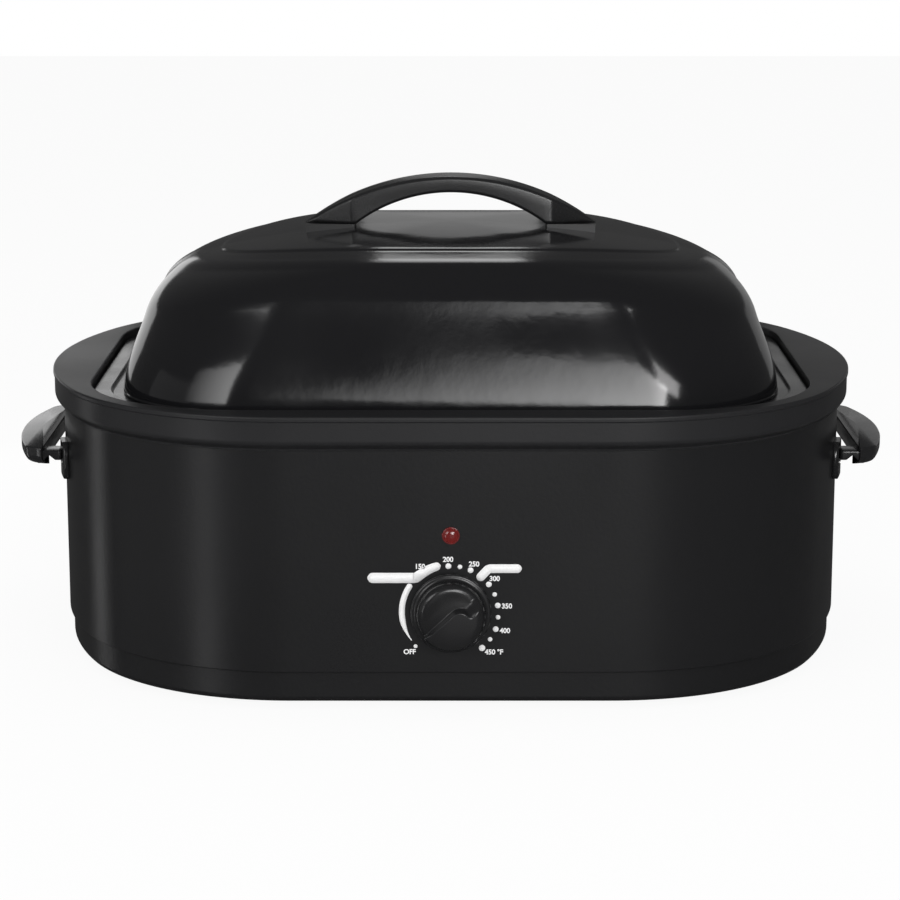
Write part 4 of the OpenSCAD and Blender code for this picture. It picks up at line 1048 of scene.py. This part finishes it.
def area_light(name, place, aim, width, height, radiance, roll=0.0, grade=None):
    """A soft panel of light that the camera doesn't see, nor a gloss if it is the top one.

    Graded "side", it has u of its full strength at u of its width. Graded "middle", it has
    4 v (1 - v) of it at v of its height.
    """
    data = bpy.data.lights.new(name, "AREA")
    data.shape, data.size, data.size_y = "RECTANGLE", width, height
    data.energy = radiance * math.pi * width * height
    lamp = placed(name, data)
    lamp.location = place
    lamp.rotation_euler = (Vector(aim) - Vector(place)).to_track_quat("-Z", "Y").to_euler()
    lamp.rotation_euler.rotate_axis("Z", math.radians(roll))
    lamp.visible_camera = False
    lamp.visible_glossy = name != "top"
    if grade:
        data.use_nodes = True
        glow = Nodes(data.node_tree)
        spot = glow.node("NewGeometry", {}, "Parametric")
        u, v = (glow.node("SeparateXYZ", {"Vector": spot}, axis) for axis in "XY")
        level = u if grade == "side" else v * (4 - v * 4)
        glow.feed(data.node_tree.nodes["Emission"].inputs["Strength"], level)


class ROASTER_OT_stage(Operator):
    """Makes the pale floor, the soft light and the camera"""
    bl_idname = "roaster.stage"
    bl_label = "Stage"

    def execute(self, context):
        scene = context.scene
        floor_glow, shiny_level, soft_level = 0.93, 0.07, 0.45
        white = (1, 1, 1, 1)
        f = Finish("stage_white")
        lit = f.node("BsdfDiffuse", {"Color": rgba(scene.roaster_finishes.floor)})
        glow = f.node("Emission", {"Color": white, "Strength": 1.0})
        seen = f.node("LightPath", {}, "Is Camera Ray")
        f.close(f.node("MixShader", {0: seen * floor_glow, 1: lit, 2: glow}))
        span = 6.0
        data = bpy.data.meshes.new("floor")
        corners = [(-span, -span, 0), (span, -span, 0), (span, span, 0), (-span, span, 0)]
        data.from_pydata(corners, [], [(0, 1, 2, 3)])
        data.materials.append(f.material)
        floor = placed("floor", data)
        floor.visible_glossy = False

        world = bpy.data.worlds.new("studio")
        world.use_nodes = True
        scene.world = world
        sky = Nodes(world.node_tree)
        camera, through, shiny = (sky.node("LightPath", {}, "Is %s Ray" % kind)
                                  for kind in ("Camera", "Transmission", "Glossy"))
        dim = sky.between(soft_level, shiny_level, shiny)
        background = world.node_tree.nodes["Background"].inputs
        sky.feed(background["Color"], white)
        sky.feed(background["Strength"], sky.between(dim, 1.0, sky.maths("MAXIMUM", camera, through)))

        for light in LIGHTS:
            area_light(*light)

        data = bpy.data.cameras.new("camera")
        data.lens, data.sensor_width = 109.13, 36.0
        data.clip_start, data.clip_end = 0.05, 50.0
        camera = placed("camera", data)
        pitch = math.radians(12.124)
        camera.location = (-0.00056, MIDDLE_Y - 1.91985, 0.54054)
        camera.rotation_euler = (QUARTER - pitch, 0, 0)
        scene.camera = camera
        scene.view_settings.view_transform = "Standard"
        return {"FINISHED"}


class ROASTER_PT_panel(Panel):
    """Lists the pieces of the roaster oven"""
    bl_idname = "ROASTER_PT_panel"
    bl_label = "Roaster oven"
    bl_space_type = "VIEW_3D"
    bl_region_type = "UI"
    bl_category = "Roaster"

    def draw(self, context):
        for operator in OPERATORS:
            self.layout.operator(operator.bl_idname)


GROUPS = {"roaster_casing": CasingSizes, "roaster_pan": PanSizes, "roaster_lid": LidSizes,
          "roaster_control": ControlSizes, "roaster_handles": HandleSizes, "roaster_finishes": Finishes}
OPERATORS = (ROASTER_OT_stage, ROASTER_OT_casing, ROASTER_OT_pan, ROASTER_OT_lid, ROASTER_OT_control,
             ROASTER_OT_dial, ROASTER_OT_handles, ROASTER_OT_inner)


def register():
    for cls in (*GROUPS.values(), *OPERATORS, ROASTER_PT_panel):
        bpy.utils.register_class(cls)
    for name, group in GROUPS.items():
        setattr(bpy.types.Scene, name, PointerProperty(type=group))


def unregister():
    for name in GROUPS:
        delattr(bpy.types.Scene, name)
    for cls in (ROASTER_PT_panel, *reversed(OPERATORS), *reversed(GROUPS.values())):
        bpy.utils.unregister_class(cls)


def main():
    register()
    for operator in OPERATORS:
        group, name = operator.bl_idname.split(".")
        getattr(getattr(bpy.ops, group), name)()


if __name__ == "__main__":
    main()
